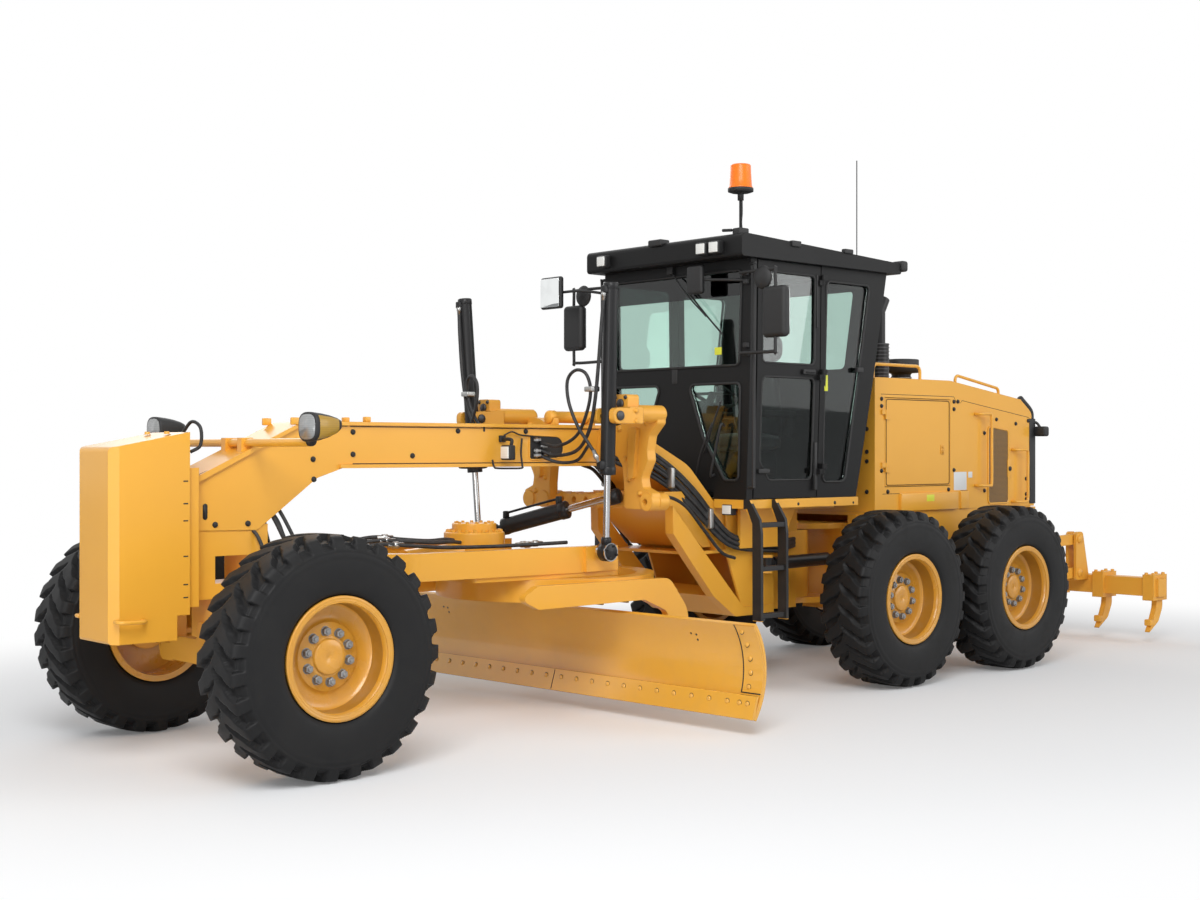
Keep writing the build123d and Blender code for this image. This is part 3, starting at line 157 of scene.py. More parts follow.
def smoothPath(corners, perRun=10):
    # cubic through the corners: each run is a Hermite blend with tangents of half the neighbour gap
    p = np.asarray(corners, float)
    ends = np.concatenate([[2 * p[0] - p[1]], p, [2 * p[-1] - p[-2]]])
    tangent = (ends[2:] - ends[:-2]) / 2
    t = np.linspace(0, 1, perRun, endpoint=False)[None, :, None]
    a, b, ta, tb = p[:-1, None], p[1:, None], tangent[:-1, None], tangent[1:, None]
    runs = ((2 * t**3 - 3 * t**2 + 1) * a + (t**3 - 2 * t**2 + t) * ta
            + (-2 * t**3 + 3 * t**2) * b + (t**3 - t**2) * tb)
    return np.concatenate([runs.reshape(-1, 3), p[-1:]])


def hose(corners, radius, sides=12, perRun=10, smooth=True):
    # a circle carried along the path; its frame turns with the path by the least amount
    path = smoothPath(corners, perRun) if smooth else np.asarray(corners, float)
    tangent = np.gradient(path, axis=0)
    tangent /= np.linalg.norm(tangent, axis=1)[:, None]
    side = np.cross(tangent[0], [0.3, 0.2, 0.93])
    frames = []
    for t in tangent:
        side = side - t * (side @ t)
        side = side / np.linalg.norm(side)
        frames.append(side)
    n = np.array(frames)
    b = np.cross(tangent, n)
    angle = np.linspace(0, 2 * pi, sides, endpoint=False)
    points = (path[:, None] + radius * (n[:, None] * np.cos(angle)[None, :, None] + b[:,
        None] * np.sin(angle)[None, :, None])).reshape(-1, 3)
    count = len(points)
    points = np.concatenate([points, path[:1], path[-1:]])
    faces = gridFaces(len(path), sides, False, True)[:, ::-1]
    ring = np.arange(sides)
    last = count - sides
    first = np.stack([np.full(sides, count), ring, (ring + 1) % sides, (ring + 1) % sides], 1)
    final = np.stack([np.full(sides, count + 1), last + (ring + 1) % sides, last + ring, last + ring], 1)
    return points, [list(dict.fromkeys(face)) for face in np.concatenate([faces, first[:, ::-1],
        final[:, ::-1]]).tolist()]


def softBox(low, high, radius, steps=3):
    # box whose points are pulled back to an inner box and pushed out by the radius, so its edges are round
    low, high = np.minimum(low, high).astype(float), np.maximum(low, high).astype(float)
    half, centre = (high - low) / 2, (high + low) / 2
    radius = min(radius, half.min() * 0.98)
    parts = []
    for axis in range(3):
        u, v = (axis + 1) % 3, (axis + 2) % 3
        reach = lambda h: np.concatenate([-h + radius * (1 - np.cos(np.linspace(0, pi / 2, steps + 1))),
            h - radius * (1 - np.cos(np.linspace(pi / 2, 0, steps + 1)))])
        a, b = np.meshgrid(reach(half[u]), reach(half[v]), indexing="ij")
        for sign in (1, -1):
            p = np.zeros(a.shape + (3,))
            p[..., u], p[..., v], p[..., axis] = a, b, sign * half[axis]
            inner = np.clip(p, -(half - radius), half - radius)
            out = p - inner
            length = np.linalg.norm(out, axis=-1, keepdims=True)
            p = inner + radius * out / np.maximum(length, 1e-9)
            faces = gridFaces(*a.shape)
            parts.append(((p + centre).reshape(-1, 3), faces if sign > 0 else faces[:, ::-1]))
    return joined(parts)


def plate(outline, frameOf, thick):
    # flat outline given thickness: frameOf maps (a, b, h) to 3-D
    outline = np.array(outline, float)
    n = len(outline)
    top = frameOf(outline[:, 0], outline[:, 1], np.full(n, thick))
    bottom = frameOf(outline[:, 0], outline[:, 1], np.zeros(n))
    ring = np.arange(n)
    sides = np.stack([ring, ring + n, (ring + 1) % n + n, (ring + 1) % n], 1).tolist()
    return np.concatenate([top, bottom]), [list(range(n)), list(range(2 * n - 1, n - 1, -1))] + sides


def rounded(corners, radius, steps=5):
    # outline with every corner replaced by an arc
    p = np.array([c[:2] for c in corners], float)
    out = []
    for i, corner in enumerate(p):
        r = corners[i][2] if len(corners[i]) > 2 else radius
        before, after = p[i - 1] - corner, p[(i + 1) % len(p)] - corner
        before, after = before / np.linalg.norm(before), after / np.linalg.norm(after)
        half = np.arccos(np.clip(before @ after, -1, 1)) / 2
        middle = corner + (before + after) / np.linalg.norm(before + after) * r / np.sin(half)
        a, b = corner + before * r / np.tan(half) - middle, corner + after * r / np.tan(half) - middle
        share = np.linspace(0, 1, steps)[:, None]
        arc = a * (1 - share) + b * share
        out.append(middle + arc / np.linalg.norm(arc, axis=1)[:, None] * r)
    return np.concatenate(out)


def moved(part, offset):
    return part[0] + offset, part[1]


def stud(profile, sides, flip=False):
    # surface of revolution standing on z = 0 at the origin
    return turned(profile, (0, 0, 0), "z", sides, flip)


def box(low, high, radius, steps=3):
    # soft box between two stations
    return softBox(at(*low), at(*high), radius, steps)


def cable(rows, radius, sides=12, perRun=10):
    # hose through a list of stations
    return hose(spots(rows), radius, sides, perRun)


def bead(loop, radius, sides=8):
    # closed hose along a loop of points, overlapping its own start
    return hose(np.concatenate([loop, loop[:2]]), radius, sides, smooth=False)


# thin dark line: seams between parts, and in one place a painted shadow under a flange
def seamAndShadowLine(points, radius=0.0022):
    return hose(points, radius, 6, smooth=False)


def onSide(y):
    # frame for a plate that stands on a plane of constant y, its outline given by station and height
    return lambda a, b, h: np.stack([a + axleX, y + h, b], 1)


def sideLoop(outline, y):
    # an outline of stations and heights, set at y
    return np.stack([outline[:, 0] + axleX, y + 0 * outline[:, 0], outline[:, 1]], 1)


def mirror(part):
    # the same part on the right-hand side
    faces = [face[::-1] for face in part[1]] if isinstance(part[1], list) else part[1][:, ::-1]
    return part[0] * np.array([1, -1, 1]), faces


def bothSides(part):
    return [part, mirror(part)]


def paired(parts):
    return [p for part in parts for p in bothSides(part)]


# materials: a Value is the output of a node; arithmetic on values adds Math nodes
class Value:
    def __init__(self, finish, link):
        self.finish, self.link = finish, link

    def maths(self, operation, *values):
        return self.finish.node("Math", {"operation": operation}, dict(enumerate(values)))

    def __add__(self, other):
        return self.maths("ADD", self, other)

    def __radd__(self, other):
        return self.maths("ADD", other, self)

    def __sub__(self, other):
        return self.maths("SUBTRACT", self, other)

    def __rsub__(self, other):
        return self.maths("SUBTRACT", other, self)

    def __mul__(self, other):
        return self.maths("MULTIPLY", self, other)

    def __rmul__(self, other):
        return self.maths("MULTIPLY", other, self)

    def __truediv__(self, other):
        return self.maths("DIVIDE", self, other)


class Finish:
    def __init__(self, name):
        self.material = bpy.data.materials.new(name)
        self.material.use_nodes = True
        self.tree = self.material.node_tree
        self.tree.nodes.clear()

    def node(self, kind, settings=None, sockets=None, out=0):
        # kind is the shader node's name without its prefix; settings first, then values or links of the sockets
        made = self.tree.nodes.new("ShaderNode" + kind)
        for key, value in (settings or {}).items():
            setattr(made, key, value)
        for key, value in (sockets or {}).items():
            if isinstance(value, Value):
                self.tree.links.new(value.link, made.inputs[key])
            else:
                target = made.inputs[key]
                colour = target.type == "RGBA" and len(value) == 3
                target.default_value = (*value, 1) if colour else value
        return Value(self, made.outputs[out]) if len(made.outputs) else made

    def place(self, scale=1.0):
        # Object coordinates, scaled
        spot = self.node("TexCoord", out="Object")
        return self.node("VectorMath", {"operation": "MULTIPLY"},
            {0: spot, 1: (scale,) * 3 if np.isscalar(scale) else scale})

    def noise(self, scale, detail=3.0, roughness=0.55, stretch=1.0):
        return self.node("TexNoise", None,
            {"Vector": self.place(stretch), "Scale": scale, "Detail": detail, "Roughness": roughness})

    def ramp(self, value, low, high):
        # 0 below low, 1 above high, smooth between
        return self.node("MapRange", {"interpolation_type": "SMOOTHSTEP"},
                         {"Value": value, "From Min": low, "From Max": high})

    def blend(self, mask, first, second):
        return self.node("Mix", {"data_type": "RGBA"}, {"Factor": mask, 6: first, 7: second}, out=2)

    def bump(self, height, strength, distance=0.002, normal=None):
        sockets = {"Height": height, "Strength": strength, "Distance": distance}
        if normal:
            sockets["Normal"] = normal
        return self.node("Bump", None, sockets)

    def shade(self, **sockets):
        # the surface: names are the shader's own, with _ for a space
        values = {key.replace("_", " "): value for key, value in sockets.items()}
        surface = self.node("BsdfPrincipled", None, values)
        self.node("OutputMaterial", None, {"Surface": surface})
        return self.material


def paint(name, colour, shadeColour, roughness=0.34, peel=0.08, dirt=0.18, edgeRadius=0.004, coat=0.25,
        shine=0.5):
    # sprayed enamel: fine orange peel, slow colour drift, dust that settles low down
    f = Finish(name)
    drift = f.ramp(f.noise(1.3, 4), 0.35, 0.7)
    body = f.blend(drift * 0.55, colour, shadeColour)
    height = f.node("SeparateXYZ", None, {0: f.place()}, out=2)
    low = 1 - f.ramp(height, 0.15, 0.95)
    dust = low * f.ramp(f.noise(9, 6), 0.42, 0.72) * dirt
    dusty = f.blend(dust, body, (0.36, 0.27, 0.17))
    edges = f.node("Bevel", {"samples": 3}, {"Radius": edgeRadius})
    return f.shade(Base_Color=dusty, Roughness=roughness + 0.3 * dust + 0.05 * drift, Metallic=0.0,
                   Coat_Weight=coat, Coat_Roughness=0.12, Specular_IOR_Level=shine,
                   Normal=f.bump(f.noise(260, 2), peel, 0.0006, edges))


def castPaint(name, colour, shadeColour):
    # thick paint over sand-cast iron: coarse skin under the gloss
    f = Finish(name)
    skin = f.noise(70, 5) * 0.7 + f.noise(320, 2) * 0.3
    body = f.blend(f.ramp(f.noise(2.1, 4), 0.35, 0.7) * 0.6, colour, shadeColour)
    edges = f.node("Bevel", {"samples": 3}, {"Radius": 0.012})
    return f.shade(Base_Color=body, Roughness=0.42 + 0.1 * skin, Coat_Weight=0.15, Coat_Roughness=0.2,
                   Normal=f.bump(skin, 0.35, 0.002, edges))


def mouldedPlastic(name, colour, roughness=0.55, grain=420):
    # fine leather-like grain of moulded plastic
    f = Finish(name)
    cells = f.node("TexVoronoi", {"feature": "F1"}, {"Vector": f.place(), "Scale": grain})
    body = f.blend(f.noise(3, 3) * 0.4, colour, tuple(c * 1.35 for c in colour))
    return f.shade(Base_Color=body, Roughness=roughness + 0.08 * f.noise(30, 2),
        Normal=f.bump(cells, 0.18, 0.0006))


def tyreRubber(name):
    # charcoal rubber: mould speckle, paler dusty tread, faint rings on the wall
    f = Finish(name)
    speckle = f.noise(160, 4)
    dusty = f.ramp(f.noise(6, 5), 0.45, 0.75)
    body = f.blend(dusty * 0.5, (0.011, 0.011, 0.0115), (0.02, 0.0195, 0.019))
    return f.shade(Base_Color=body, Roughness=0.5 + 0.2 * dusty, Specular_IOR_Level=0.2,
                   Normal=f.bump(speckle, 0.25, 0.0012))


def hoseRubber(name):
    f = Finish(name)
    weave = f.node("TexNoise", None, {"Vector": f.place(), "Scale": 700.0, "Detail": 2.0})
    body = f.blend(f.ramp(f.noise(18, 3), 0.4, 0.7), (0.014, 0.014, 0.015), (0.03, 0.03, 0.031))
    return f.shade(Base_Color=body, Roughness=0.48 + 0.15 * weave, Normal=f.bump(weave, 0.3, 0.0006))


def metal(name, colour, roughness=0.25, scratch=0.3, stretch=(1, 1, 1)):
    # bare metal with fine marks along the stretch
    f = Finish(name)
    marks = f.noise(120, 4, 0.6, stretch)
    stain = f.ramp(f.noise(7, 4), 0.4, 0.75)
    body = f.blend(stain * 0.35, colour, tuple(c * 0.72 for c in colour))
    return f.shade(Base_Color=body, Metallic=1.0, Roughness=roughness + 0.14 * marks * scratch + 0.1 * stain,
                   Normal=f.bump(marks, 0.06 * scratch, 0.0005))


def glass(name, colour, sideColour=None):
    # tinted sheet that light passes through; panes that face sideways are greyer than those across the machine
    f = Finish(name)
    film = f.ramp(f.noise(2.2, 5), 0.45, 0.8)
    facingSide = f.node("SeparateXYZ", None, {0: f.node("TexCoord", out="Normal")}, out=1)
    body = f.blend(f.ramp(facingSide * facingSide, 0.4, 0.6), colour, sideColour or colour)
    return f.shade(Base_Color=body, Roughness=0.01 + 0.03 * film, IOR=1.45, Transmission_Weight=1.0,
        Coat_Weight=0.15, Coat_Roughness=0.02)


def lens(name, colour, glow=0.0, ribs=260.0, gloss=1.0, depth=0.25):
    # moulded lamp lens: bright, ribbed on the inside
    f = Finish(name)
    wave = f.node("TexWave", {"wave_type": "BANDS", "bands_direction": "Z"},
        {"Vector": f.place(), "Scale": ribs / 10})
    body = f.blend(wave * 0.25, colour, tuple(c * 0.6 for c in colour))
    return f.shade(Base_Color=body, Roughness=0.12 + 0.3 * (1 - gloss), Coat_Weight=gloss, Coat_Roughness=0.03,
                   Emission_Color=colour, Emission_Strength=glow, Normal=f.bump(wave, depth, 0.001))


def seatCloth(name):
    f = Finish(name)
    weave = f.node("TexWave", {"bands_direction": "DIAGONAL"},
        {"Vector": f.place(), "Scale": 260.0, "Distortion": 1.0})
    body = f.blend(weave * 0.6, (0.018, 0.018, 0.02), (0.05, 0.05, 0.055))
    return f.shade(Base_Color=body, Roughness=0.85, Sheen_Weight=0.3, Normal=f.bump(weave, 0.4, 0.001))


def meshScreen(name, colour):
    # punched screen: rows of holes in painted sheet, coloured near black as painted shade for the space behind
    # them
    f = Finish(name)
    cells = f.node("TexVoronoi", {"feature": "F1"},
        {"Vector": f.place((1, 0.02, 1)), "Scale": 95.0, "Randomness": 0.0})
    hole = f.ramp(cells, 0.28, 0.36)
    body = f.blend(hole, (0.02, 0.015, 0.008), colour)
    return f.shade(Base_Color=body, Roughness=0.5, Normal=f.bump(hole, 0.5, 0.002))


paintYellow = paint("paintYellow", (0.84, 0.415, 0.045), (0.8, 0.385, 0.038), 0.3, 0.05, 0.12, 0.004, 0.3, 0.4)
castYellow = castPaint("castYellow", (0.84, 0.41, 0.045), (0.79, 0.37, 0.036))
# painted shade: the rims take a darker copy of the body yellow, standing in for the shade in the wheels' dishes
wheelShadedYellow = paint("wheelShadedYellow", (0.66, 0.315, 0.034), (0.58, 0.26, 0.024), 0.26, 0.05, 0.22, 0.004, 0.4,
    0.45)
# painted shade: the rims' inner barrel wall is a much darker copy of the yellow, for the shade deep inside each
# wheel
barrelPaintedShade = paint("barrelPaintedShade", (0.36, 0.165, 0.017), (0.3, 0.13, 0.012), 0.32, 0.05, 0.3, 0.002, 0.3, 0.4)
bladeYellow = paint("bladeYellow", (0.84, 0.43, 0.055), (0.8, 0.4, 0.045), 0.2, 0.02, 0.06, 0.003, 0.7, 0.5)
cabBlack = paint("cabBlack", (0.0085, 0.0085, 0.0088), (0.011, 0.011, 0.0113), 0.46, 0.1, 0.02, 0.006, 0.0, 0.2)
barrelBlack = paint("barrelBlack", (0.015, 0.015, 0.016), (0.02, 0.02, 0.021), 0.36, 0.08, 0.03, 0.004, 0.1,
    0.22)
stepBlack = paint("stepBlack", (0.014, 0.014, 0.015), (0.02, 0.02, 0.02), 0.45, 0.2, 0.12, 0.004, 0.0, 0.4)
grainBlack = mouldedPlastic("grainBlack", (0.012, 0.012, 0.0125))
# this dark material serves real seals, and also the painted shade in holes, slots and openings and the painted
# shadow lines
rubberSealAndShade = mouldedPlastic("rubberSealAndShade", (0.012, 0.012, 0.012), 0.6, 900)
seamBrown = paint("seamBrown", (0.13, 0.06, 0.009), (0.1, 0.045, 0.007), 0.5, 0.02, 0.0, 0.001, 0.0, 0.3)
tyreBlack = tyreRubber("tyreBlack")
hoseBlack = hoseRubber("hoseBlack")
chromeRod = metal("chromeRod", (0.56, 0.56, 0.56), 0.1, 0.25, (0.2, 0.2, 6))
zincFitting = metal("zincFitting", (0.46, 0.46, 0.45), 0.32, 0.5)
nutSteel = metal("nutSteel", (0.3, 0.305, 0.31), 0.5, 0.8)
darkSteel = metal("darkSteel", (0.1, 0.1, 0.105), 0.45, 0.8)
engineIron = castPaint("engineIron", (0.07, 0.07, 0.07), (0.05, 0.05, 0.05))
clearGlass = glass("clearGlass", (0.73, 0.965, 0.865), (0.5, 0.57, 0.55))
sideGlass = glass("sideGlass", (0.5, 0.57, 0.55))
tintBand = glass("tintBand", (0.05, 0.06, 0.06))
mirrorSilver = metal("mirrorSilver", (0.85, 0.87, 0.87), 0.02, 0.0)
lampWhite = lens("lampWhite", (0.82, 0.83, 0.8), 0.05)
# painted reflection: amber standing in for the machine's yellow reflected in the side pods' glossy black
# housings
podPaintedReflection = lens("podPaintedReflection", (0.42, 0.24, 0.015), 0.0, 260.0, 0.25, 0.05)
lampClear = lens("lampClear", (0.3, 0.31, 0.31), 0.0, 260.0, 0.6)
beaconOrange = lens("beaconOrange", (0.95, 0.19, 0.0), 0.14, 160.0, 0.1, 0.04)
lampRed = lens("lampRed", (0.5, 0.02, 0.015), 0.03)
clothBlack = seatCloth("clothBlack")
screenBrown = meshScreen("screenBrown", (0.25, 0.13, 0.028))
labelWhite = paint("labelWhite", (0.72, 0.74, 0.74), (0.66, 0.68, 0.68), 0.4, 0.02, 0.0, 0.0005, 0.3)
labelYellow = paint("labelYellow", (0.72, 0.75, 0.04), (0.68, 0.7, 0.03), 0.4, 0.02, 0.0, 0.0005, 0.3)
print("materials made")


def fix(name, parts, material, body="front_frame", smooth=True, outward=False):
    # a piece that rides on a body and carries its material
    piece = meshed(name, parts, material, smooth, outward)
    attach(piece, body)
    return piece


nodeFinish = {"tyre_": tyreBlack, "rim_": wheelShadedYellow, "lift_barrel": barrelBlack, "lift_rod": chromeRod,
    "articulation_barrel": barrelBlack, "articulation_rod": chromeRod, "shift_barrel": barrelBlack,
    "shift_rod": chromeRod, "cab_platform": paintYellow, "cab_front_wall": cabBlack, "cab_rear_wall": cabBlack,
    "cab_roof": cabBlack, "cab_door": cabBlack, "cab_windows": clearGlass, "seat": clothBlack,
    "steering_console": grainBlack, "mirrors": grainBlack, "lamps": grainBlack, "engine_block": engineIron,
    "radiator_grille": cabBlack, "exhaust_stack": barrelBlack, "lift_arms": castYellow,
    "front_axle": castYellow, "knuckle": castYellow, "lean_yoke": castYellow, "blade_bracket": castYellow,
    "drawbar": paintYellow, "moldboard": bladeYellow, "cutting_edge": bladeYellow, "push_block": paintYellow,
    "rear_axle": castYellow, "tie_rod": darkSteel, "ripper": castYellow}
for nodeName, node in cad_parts.items():
    match = max((key for key in nodeFinish if nodeName.startswith(key)), key=len, default=None)
    node.data.materials.clear()
    node.data.materials.append(nodeFinish.get(match, paintYellow))


wheelSettings = {"lugs": 27, "perLug": 26, "tread": 0.036, "tyreRadius": 0.673, "shoulder": 0.592,
    "fadeOver": 0.035, "treadHalf": 0.2, "skin": 0.0032,
    "ridges": [(0.592, 0.004), (0.56, 0.003), (0.392, 0.004), (0.37, 0.003)], "nuts": 10, "nutCircle": 0.14,
    "nutFace": 0.0575}


def tyreSurface(side, centre):
    # section from bead to bead, carried round; groove depth = tread x (1 - lug) x shoulder fade,
    # along the section's normal
    w = wheelSettings
    half = np.array([(0.335, 0.165), (0.344, 0.184), (0.352, 0.196), (0.375, 0.211), (0.43, 0.2205),
        (0.5, 0.2225), (0.56, 0.2185), (0.6, 0.213), (0.625, 0.207), (0.645, 0.199), (0.66, 0.187),
        (0.668, 0.168), (0.6715, 0.13), (0.673, 0.09), (0.673, 0.045), (0.673, 0.0)])
    section = np.concatenate([half, (half * [1, -1])[-2::-1]])
    section = smoothPath(np.column_stack([section, section[:, 0] * 0]), 4)[:, :2]
    section[:, 0] = np.minimum(section[:, 0], w["tyreRadius"])
    step = np.gradient(section, axis=0)
    normal = np.stack([-step[:, 1], step[:, 0]], 1) / np.linalg.norm(step, axis=1)[:, None]
    count = w["lugs"] * w["perLug"]
    phase = np.linspace(0, w["lugs"], count, endpoint=False)[:, None]
    r, y = section[:, 0][None], section[:, 1][None]
    across = np.abs(y) / w["treadHalf"]
    offset = np.where(y > 0, 0.0, 0.5)
    centreLine = np.where(across > 0.62, 0.25 * (across - 0.62),
        -1.15 * (0.62 - across)) + 0.07 * np.sin(across * 9.0)
    width = np.interp(across, [0, 0.1, 0.35, 0.55, 0.75, 1.2], [0.03, 0.09, 0.13, 0.15, 0.19, 0.23])
    distance = np.abs((phase - offset - centreLine) % 1.0 - 0.5)
    lug = np.clip((distance - width) / 0.055, 0, 1)
    lug = lug * lug * (3 - 2 * lug)
    fade = np.clip((r - w["shoulder"]) / w["fadeOver"], 0, 1)
    depth = w["tread"] * (1 - lug) * fade
    rings = w["skin"] * sum(np.exp(-((r - ridge) / wide) ** 2) for ridge, wide in w["ridges"])
    depth = depth + w["skin"] - rings * (r < 0.6)
    rr = r - normal[:, 0][None] * depth
    yy = y - normal[:, 1][None] * depth
    angle = phase * (2 * pi / w["lugs"])
    points = np.stack([rr * np.sin(angle), yy + 0 * angle, rr * np.cos(angle)], -1)
    if side < 0:
        points[..., 1] *= -1
    faces = gridFaces(count, section.shape[0], True, True)
    return (points + centre).reshape(-1, 3), faces if side > 0 else faces[:, ::-1]


def wheelPieces(name, body):
    low, high = (np.array(c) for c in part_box("tyre_" + name))
    centre = (low + high) / 2
    side = 1 if centre[1] > 0 else -1
    tyre = fix("tyreTread_" + name, [tyreSurface(side, centre)], tyreBlack, body)
    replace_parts(tyre, "tyre_" + name)
    out = lambda h: centre + np.array([0, side * h, 0])
    rings = [turned([(0.312, 0.15), (0.318, 0.176), (0.33, 0.188), (0.3385, 0.19), (0.3405, 0.194),
        (0.338, 0.1975), (0.327, 0.1985), (0.3235, 0.1955), (0.3185, 0.1975), (0.3125, 0.1975), (0.309, 0.194),
        (0.3055, 0.1895), (0.3005, 0.187), (0.3, 0.15)], centre, "y", 72),
        turned([(0.292, 0.058), (0.282, 0.046), (0.268, 0.0402), (0.215, 0.0398), (0.196, 0.046),
        (0.19, 0.0555), (0.188, 0.0575), (0.118, 0.0575), (0.114, 0.062), (0.108, 0.0625), (0.1, 0.061),
        (0.098, 0.066), (0.0965, 0.0785), (0.092, 0.082), (0.012, 0.0825), (0.009, 0.08), (0.0, 0.08)], centre,
        "y", 72)]
    wall = turned([(0.303, 0.188), (0.301, 0.17), (0.3005, 0.12), (0.299, 0.085), (0.296, 0.068),
        (0.292, 0.058)], centre, "y", 72)
    if side < 0:
        flipped = lambda part: (part[0] * [1, -1, 1] + [0, 2 * centre[1], 0], part[1][:, ::-1])
        rings, wall = [flipped(part) for part in rings], flipped(wall)
    # the barrel wall carries painted shade
    fix("wheelBarrel_" + name, [wall], barrelPaintedShade, body)
    fix("wheelDish_" + name, rings, wheelShadedYellow, body)
    angle = np.arange(wheelSettings["nuts"]) * 2 * pi / wheelSettings["nuts"] + 0.1
    ring = np.stack([np.sin(angle), angle * 0, np.cos(angle)], 1) * wheelSettings["nutCircle"]
    nut = joined([bolt(0.043, 0.028, 0.029),
        stud([(0, 0.034), (0.01, 0.034), (0.012, 0.031), (0.012, 0.022)], 12)])
    nuts = [copies(facing((0, side, 0), nut), ring + out(wheelSettings["nutFace"]))]
    valve = hose([out(0.045) + [0.262, 0, 0.11], out(0.08) + [0.262, 0, 0.11], out(0.13) + [0.268, 0, 0.113]],
        0.006, 8, 4)
    fix("wheelNuts_" + name, nuts, nutSteel, body, smooth=False)
    fix("valveStem_" + name, [valve], zincFitting, body)


for wheelName in ("front_left", "front_right", "tandem_front_left", "tandem_front_right", "tandem_rear_left",
        "tandem_rear_right"):
    wheelPieces(wheelName, "wheel_" + wheelName)
print("wheels made")

cabSettings = {"sealRadius": 0.009, "frontX": -3.79, "glassIn": 0.02, "paneRadius": 0.045, "screenRadius": 0.04}


def cabHalf(z):
    # half-width of the cab at a height, as on its side sheets
    return np.interp(z, [1.44, 2.35, 3.19], [0.73, 0.767, 0.778])


def doorGlass():
    # each door's two panes follow the side's slight flare
    upper = [(-4.51, 2.44), (-3.922, 2.44), (-3.922, 3.11), (-4.51, 3.11)]
    lower = [(-4.51, 1.58), (-4.027, 1.58), (-3.922, 1.72), (-3.922, 2.34), (-4.51, 2.34)]
    for name, side in (("left", 1), ("right", -1)):
        parts, seals = [], []
        for outline in (upper, lower):
            edge = rounded(outline, cabSettings["paneRadius"])
            frameOf = lambda a, b, h: np.stack([a + axleX, cabHalf(b) - cabSettings["glassIn"] + h * 0.01, b],
                1)
            parts.append(plate(edge, frameOf, 0.6))
            seals.append(bead(sideLoop(edge, cabHalf(edge[:, 1]) - 0.004), cabSettings["sealRadius"]))
        if side < 0:
            parts, seals = [mirror(p) for p in parts], [mirror(p) for p in seals]
        door = "cab_door_" + name
        fix("doorGlass_" + name, parts, sideGlass, door, smooth=False, outward=True)
        fix("doorSeals_" + name, seals, rubberSealAndShade, door)
        handle = [box((-4.5, 0.772, 2.365), (-4.36, 0.792, 2.405),
            0.008),
            cable([(-4.47, 0.775, 2.385), (-4.47, 0.808, 2.385), (-4.4, 0.808, 2.385), (-4.38, 0.775, 2.385)],
            0.006, 8, 6), box((-4.545, 0.742, 1.5), (-4.515, 0.768, 1.86), 0.006),
            box((-4.535, 0.77, 2.72), (-4.518, 0.786, 3.12), 0.006),
            box((-4.02, 0.735, 1.63), (-3.9, 0.758, 1.665), 0.006)]
        handle = handle if side > 0 else [mirror(p) for p in handle]
        fix("doorFittings_" + name, handle, grainBlack, door)


def cabTrim():
    x = cabSettings["frontX"] + axleX
    seals = []
    for outline in ([(-0.665, 2.42), (0.665, 2.42), (0.69, 3.11), (-0.69, 3.11)],
                    [(0.655, 1.58), (0.675, 2.29), (0.15, 2.29), (0.3, 1.9), (0.52, 1.58)],
                    [(-0.655, 1.58), (-0.675, 2.29), (-0.15, 2.29), (-0.3, 1.9), (-0.52, 1.58)]):
        edge = rounded(outline, cabSettings["screenRadius"])
        loop = np.stack([np.full(len(edge), x + 0.002), edge[:, 0], edge[:, 1]], 1)
        seals.append(bead(loop, 0.01))
    quarter = rounded([(-4.64, 1.56, 0.04), (-4.905, 1.56, 0.06), (-5.16, 3.08, 0.04), (-4.64, 3.08, 0.04)],
        0.04)
    seals += bothSides(bead(sideLoop(quarter, cabHalf(quarter[:, 1]) + 0.001), cabSettings["sealRadius"]))
    fix("cabSeals", seals, rubberSealAndShade)
    fix("screenTint", [plate(rounded([(-0.672, 2.93, 0.02), (0.672, 2.93, 0.02), (0.68, 3.1, 0.03),
        (-0.68, 3.1, 0.03)], 0.02), lambda a, b, h: np.stack([x - 0.017 + 0 * a + h, a, b], 1), 0.002)],
        tintBand, smooth=False, outward=True)
    motor = box((-3.83, -0.03, 2.42), (-3.785, 0.03, 2.3), 0.01)
    wipers = []
    for pivot, tip, blade in (((-0.03, 3.16), (0.36, 2.79), 0.3), ((-0.22, 1.55), (-0.42, 2.0), 0.24),
            ((0.22, 1.55), (0.42, 2.0), 0.24)):
        p, q = np.array(pivot), np.array(tip)
        line = (q - p) / np.linalg.norm(q - p)
        over = lambda c, out: np.array([x + out, c[0], c[1]])
        wipers += [hose([over(p, 0.012), over((p + q) / 2, 0.05), over(q, 0.032)], 0.006, 8,
            6),
            hose([over(q - line * blade, 0.012), over(q, 0.018), over(q + line * blade * 0.7, 0.012)], 0.007, 6,
            6), softBox(over(p - 0.03, -0.002), over(p + 0.03, 0.03), 0.008)]
    fix("wipers", wipers + [motor], grainBlack)
    fix("cabLabels", [box((-3.8085, 0.4, 2.505), (-3.8065, 0.47, 2.56), 0.0008),
        box((-4.67, 0.7635, 2.25), (-4.63, 0.7645, 2.37), 0.0004)], labelYellow)


roofSettings = {"lights": [(-3.64, 0.6), (-3.64, 0.47), (-3.64, -0.6)], "podOut": 0.91, "podSides": 40,
                "podSize": [0.12, 0.34, 0.55, 0.78, 0.93, 1.0, 1.02, 0.98],
                "podStations": [-0.205, -0.195, -0.165, -0.11, -0.055, -0.012, 0.006, 0.011],
                "beacon": (-3.72, 0.74, 3.65)}


